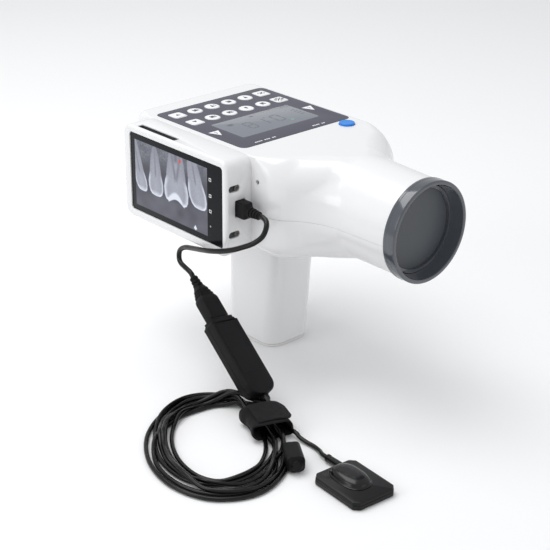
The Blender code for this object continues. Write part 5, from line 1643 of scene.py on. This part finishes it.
def bead():
    """Clip-on ferrite: a squared barrel with tapered ends, a seam and a catch."""
    start, end = FERRITE_ENDS
    along = (end - start).normalized()
    across = Vector((0, 0, 1)).cross(along).normalized()
    up = along.cross(across)
    frame_matrix = Matrix.Translation(start) @ Matrix((across, up, along)).transposed().to_4x4()
    length = (end - start).length
    size = 0.0138
    stations = [(0.0, 0.0070, 0.0070), (0.0006, 0.0082, 0.0082),
                (0.0022, 0.0086, 0.0086), (0.0030, size - 0.0016, size - 0.0016), (0.0040, size, size),
                (length - 0.0040, size, size), (length - 0.0030, size - 0.0016, size - 0.0016),
                (length - 0.0022, 0.0086, 0.0086), (length - 0.0006, 0.0082, 0.0082),
                (length, 0.0070, 0.0070)]
    body = box_rings(stations, 0.0042, 8)
    groove = block("groove", (-0.02, -0.00025, 0.0035), (0.02, 0.00025, length - 0.0035))
    body = cut(body, groove)
    catch = block("catch", (-size / 2 - 0.0006, -0.0030, length * 0.36),
                  (-size / 2 + 0.0010, 0.0030, length * 0.64), 0.0004, 2)
    mesh = moved(join_meshes("bead", [body, catch]), frame_matrix)
    item = place("ferrite_bead_case", mesh, BLACK, UNIT, 30)
    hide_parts("ferrite_bead")
    return item


def sensor():
    """Sensor plate with a stepped rim and the glossy hump that takes its lead."""
    width, length, height = SENSOR_SIZE
    half, end = width / 2, length / 2
    corners = [(-half, -end), (half, -end), (half, end), (-half, end)]
    cut_corners = []
    chamfer = SENSOR_CHAMFER * 0.62
    for index, (x, y) in enumerate(corners):
        sx, sy = math.copysign(1, x), math.copysign(1, y)
        first = (x - sx * chamfer, y, 0.0014)
        second = (x, y - sy * chamfer, 0.0014)
        cut_corners += [first, second] if (index % 2) else [second, first]
    outline = rounded_outline(cut_corners, 4)
    levels = [(0.0012, 0.0), (0.0003, 0.0004), (0.0, 0.0012),
              (0.0, height * 0.52), (0.00045, height * 0.56), (0.00045, height * 0.60),
              (0.0002, height * 0.64), (0.0002, height - 0.0012), (0.0006, height - 0.0004), (0.0014, height)]
    plate_mesh = loft("sensor_plate", [at_height(outline, z, inset) for inset, z in levels])
    hump = bmesh.new()
    steps = 56
    rows = 14
    middle_y = 0.0045
    made = []

    def oval(half_width, half_length, y, z):
        """One ring of the hump: a squared-off ellipse."""
        ring = []
        for k in range(steps):
            c, s = math.cos(2 * math.pi * k / steps), math.sin(2 * math.pi * k / steps)
            spot = Vector((half_width * math.copysign(abs(c) ** 0.80, c),
                           half_length * math.copysign(abs(s) ** 0.80, s)))
            ring.append(hump.verts.new((*(spot + Vector((0, y))), z)))
        made.append(ring)

    oval(0.0120, 0.0186, middle_y, height - 0.0006)
    oval(0.0120, 0.0186, middle_y, height + 0.0006)
    oval(0.0112, 0.0178, middle_y, height + 0.0011)
    for row in range(1, rows):
        share = row / rows
        shrink = math.cos(share * math.pi / 2) ** 0.75
        rise = math.sin(share * math.pi / 2) ** 0.9
        oval(0.0108 * shrink, 0.0172 * shrink, middle_y + 0.002 * share, height + 0.0011 + 0.0049 * rise)
    apex = hump.verts.new((0, middle_y + 0.002, height + 0.0060))
    for lower, upper in zip(made, made[1:]):
        for k in range(steps):
            m = (k + 1) % steps
            hump.faces.new((lower[k], lower[m], upper[m], upper[k]))
    for k in range(steps):
        hump.faces.new((made[-1][k], made[-1][(k + 1) % steps], apex))
    hump.faces.new(list(reversed(made[0])))
    hump_mesh = to_mesh("hump", hump)
    plate_item = place("sensor_plate", moved(plate_mesh, SENSOR_FRAME), BLACK_SATIN, UNIT, 30)
    hump_item = place("sensor_hump", moved(hump_mesh, SENSOR_FRAME), BLACK_SMOOTH, UNIT, 40)
    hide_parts("sensor")
    begin = SENSOR_FRAME @ Vector((SLEEVE_X, length / 2 - 0.006, height / 2 + 0.0006))
    finish_point = SENSOR_FRAME @ Vector((SLEEVE_X, length / 2 + GAP + SLEEVE_LENGTH, height / 2))
    run = finish_point - begin
    total = run.length
    profile = [(0.0, 0.0), (0.0031, 0.0), (0.0030, total * 0.55), (0.0029, total - 0.0022),
               (0.0032, total - 0.0020), (0.0032, total - 0.0004), (0.0028, total), (0.0, total)]
    sleeve = place("sensor_sleeve_moulding", turned("sleeve", profile, begin, run, 40), RUBBER, UNIT, 35)
    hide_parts("sensor_sleeve")
    return plate_item, hump_item, sleeve


plug = usb_plug()
socket = usb_socket()
case = adapter()
tape = strap()
ferrite = bead()
plate_item, hump_item, sleeve = sensor()

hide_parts("usb_lead")
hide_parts("lead_coil", "sensor_lead")


# ---- carried-over pieces --------------------------------------------------------------
CARRIED = {
    "base_cap": GRIP_WHITE, "base_screw_front": STEEL, "base_screw_rear": STEEL,
    "housing_screw_upper": SCREW_DARK, "housing_screw_lower": SCREW_DARK, "usb_port": STEEL,
    "battery_pack": BATTERY, "battery_board": BOARD,
    "tank_body": ALUMINIUM, "tank_lid": ALUMINIUM, "beam_filter": ALUMINIUM, "collimator": LEAD_GREY,
    "xray_tube": TUBE_GLASS, "tube_cradle": RESIN, "hv_transformer": WINDING, "multiplier_board": BOARD,
    "control_board": BOARD, "keypad_board": BOARD, "screen_board": BOARD, "exposure_switch": DARK_PLASTIC_AND_SHADE,
    "lcd_module": DARK_PLASTIC_AND_SHADE, "display_panel": DARK_PLASTIC_AND_SHADE, "screen_tray": ALUMINIUM,
}


def carried_over():
    for name, material in CARRIED.items():
        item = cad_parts[name]
        item.data.materials.clear()
        item.data.materials.append(material)


carried_over()


# ---- floor and light --------------------------------------------------------------------
def studio():
    """Pale floor, even sky and three soft lights."""
    shape = bmesh.new()
    bmesh.ops.create_grid(shape, x_segments=1, y_segments=1, size=6.0)
    mesh = bpy.data.meshes.new("floor")
    shape.to_mesh(mesh)
    shape.free()
    floor = bpy.data.objects.new("floor", mesh)
    bpy.context.scene.collection.objects.link(floor)
    material, _, shader = new_material("floor_white", (0.93, 0.93, 0.93), 0.7)
    shader.inputs["Specular IOR Level"].default_value = 0.15
    mesh.materials.append(material)
    floor.location.z = -0.0002
    world = bpy.data.worlds.new("studio")
    world.use_nodes = True
    world.node_tree.nodes["Background"].inputs["Color"].default_value = (0.97, 0.98, 1.0, 1.0)
    world.node_tree.nodes["Background"].inputs["Strength"].default_value = 0.66
    bpy.context.scene.world = world
    for name, spot, aim, size, power in (
            ("top_light", (-0.25, 0.45, 1.6), (0.0, 0.0, 0.15), 1.2, 14.0),
            ("left_light", (-1.5, 0.3, 0.8), (-0.05, 0.0, 0.12), 0.8, 4.5),
            ("front_light", (0.45, -1.6, 0.9), (0.0, -0.05, 0.12), 0.7, 1.0)):
        data = bpy.data.lights.new(name, "AREA")
        data.size = size
        data.energy = power
        item = bpy.data.objects.new(name, data)
        item.location = spot
        item.rotation_euler = (Vector(aim) - Vector(spot)).to_track_quat("-Z", "Y").to_euler()
        bpy.context.scene.collection.objects.link(item)
    bpy.context.scene.view_settings.view_transform = "Standard"


studio()
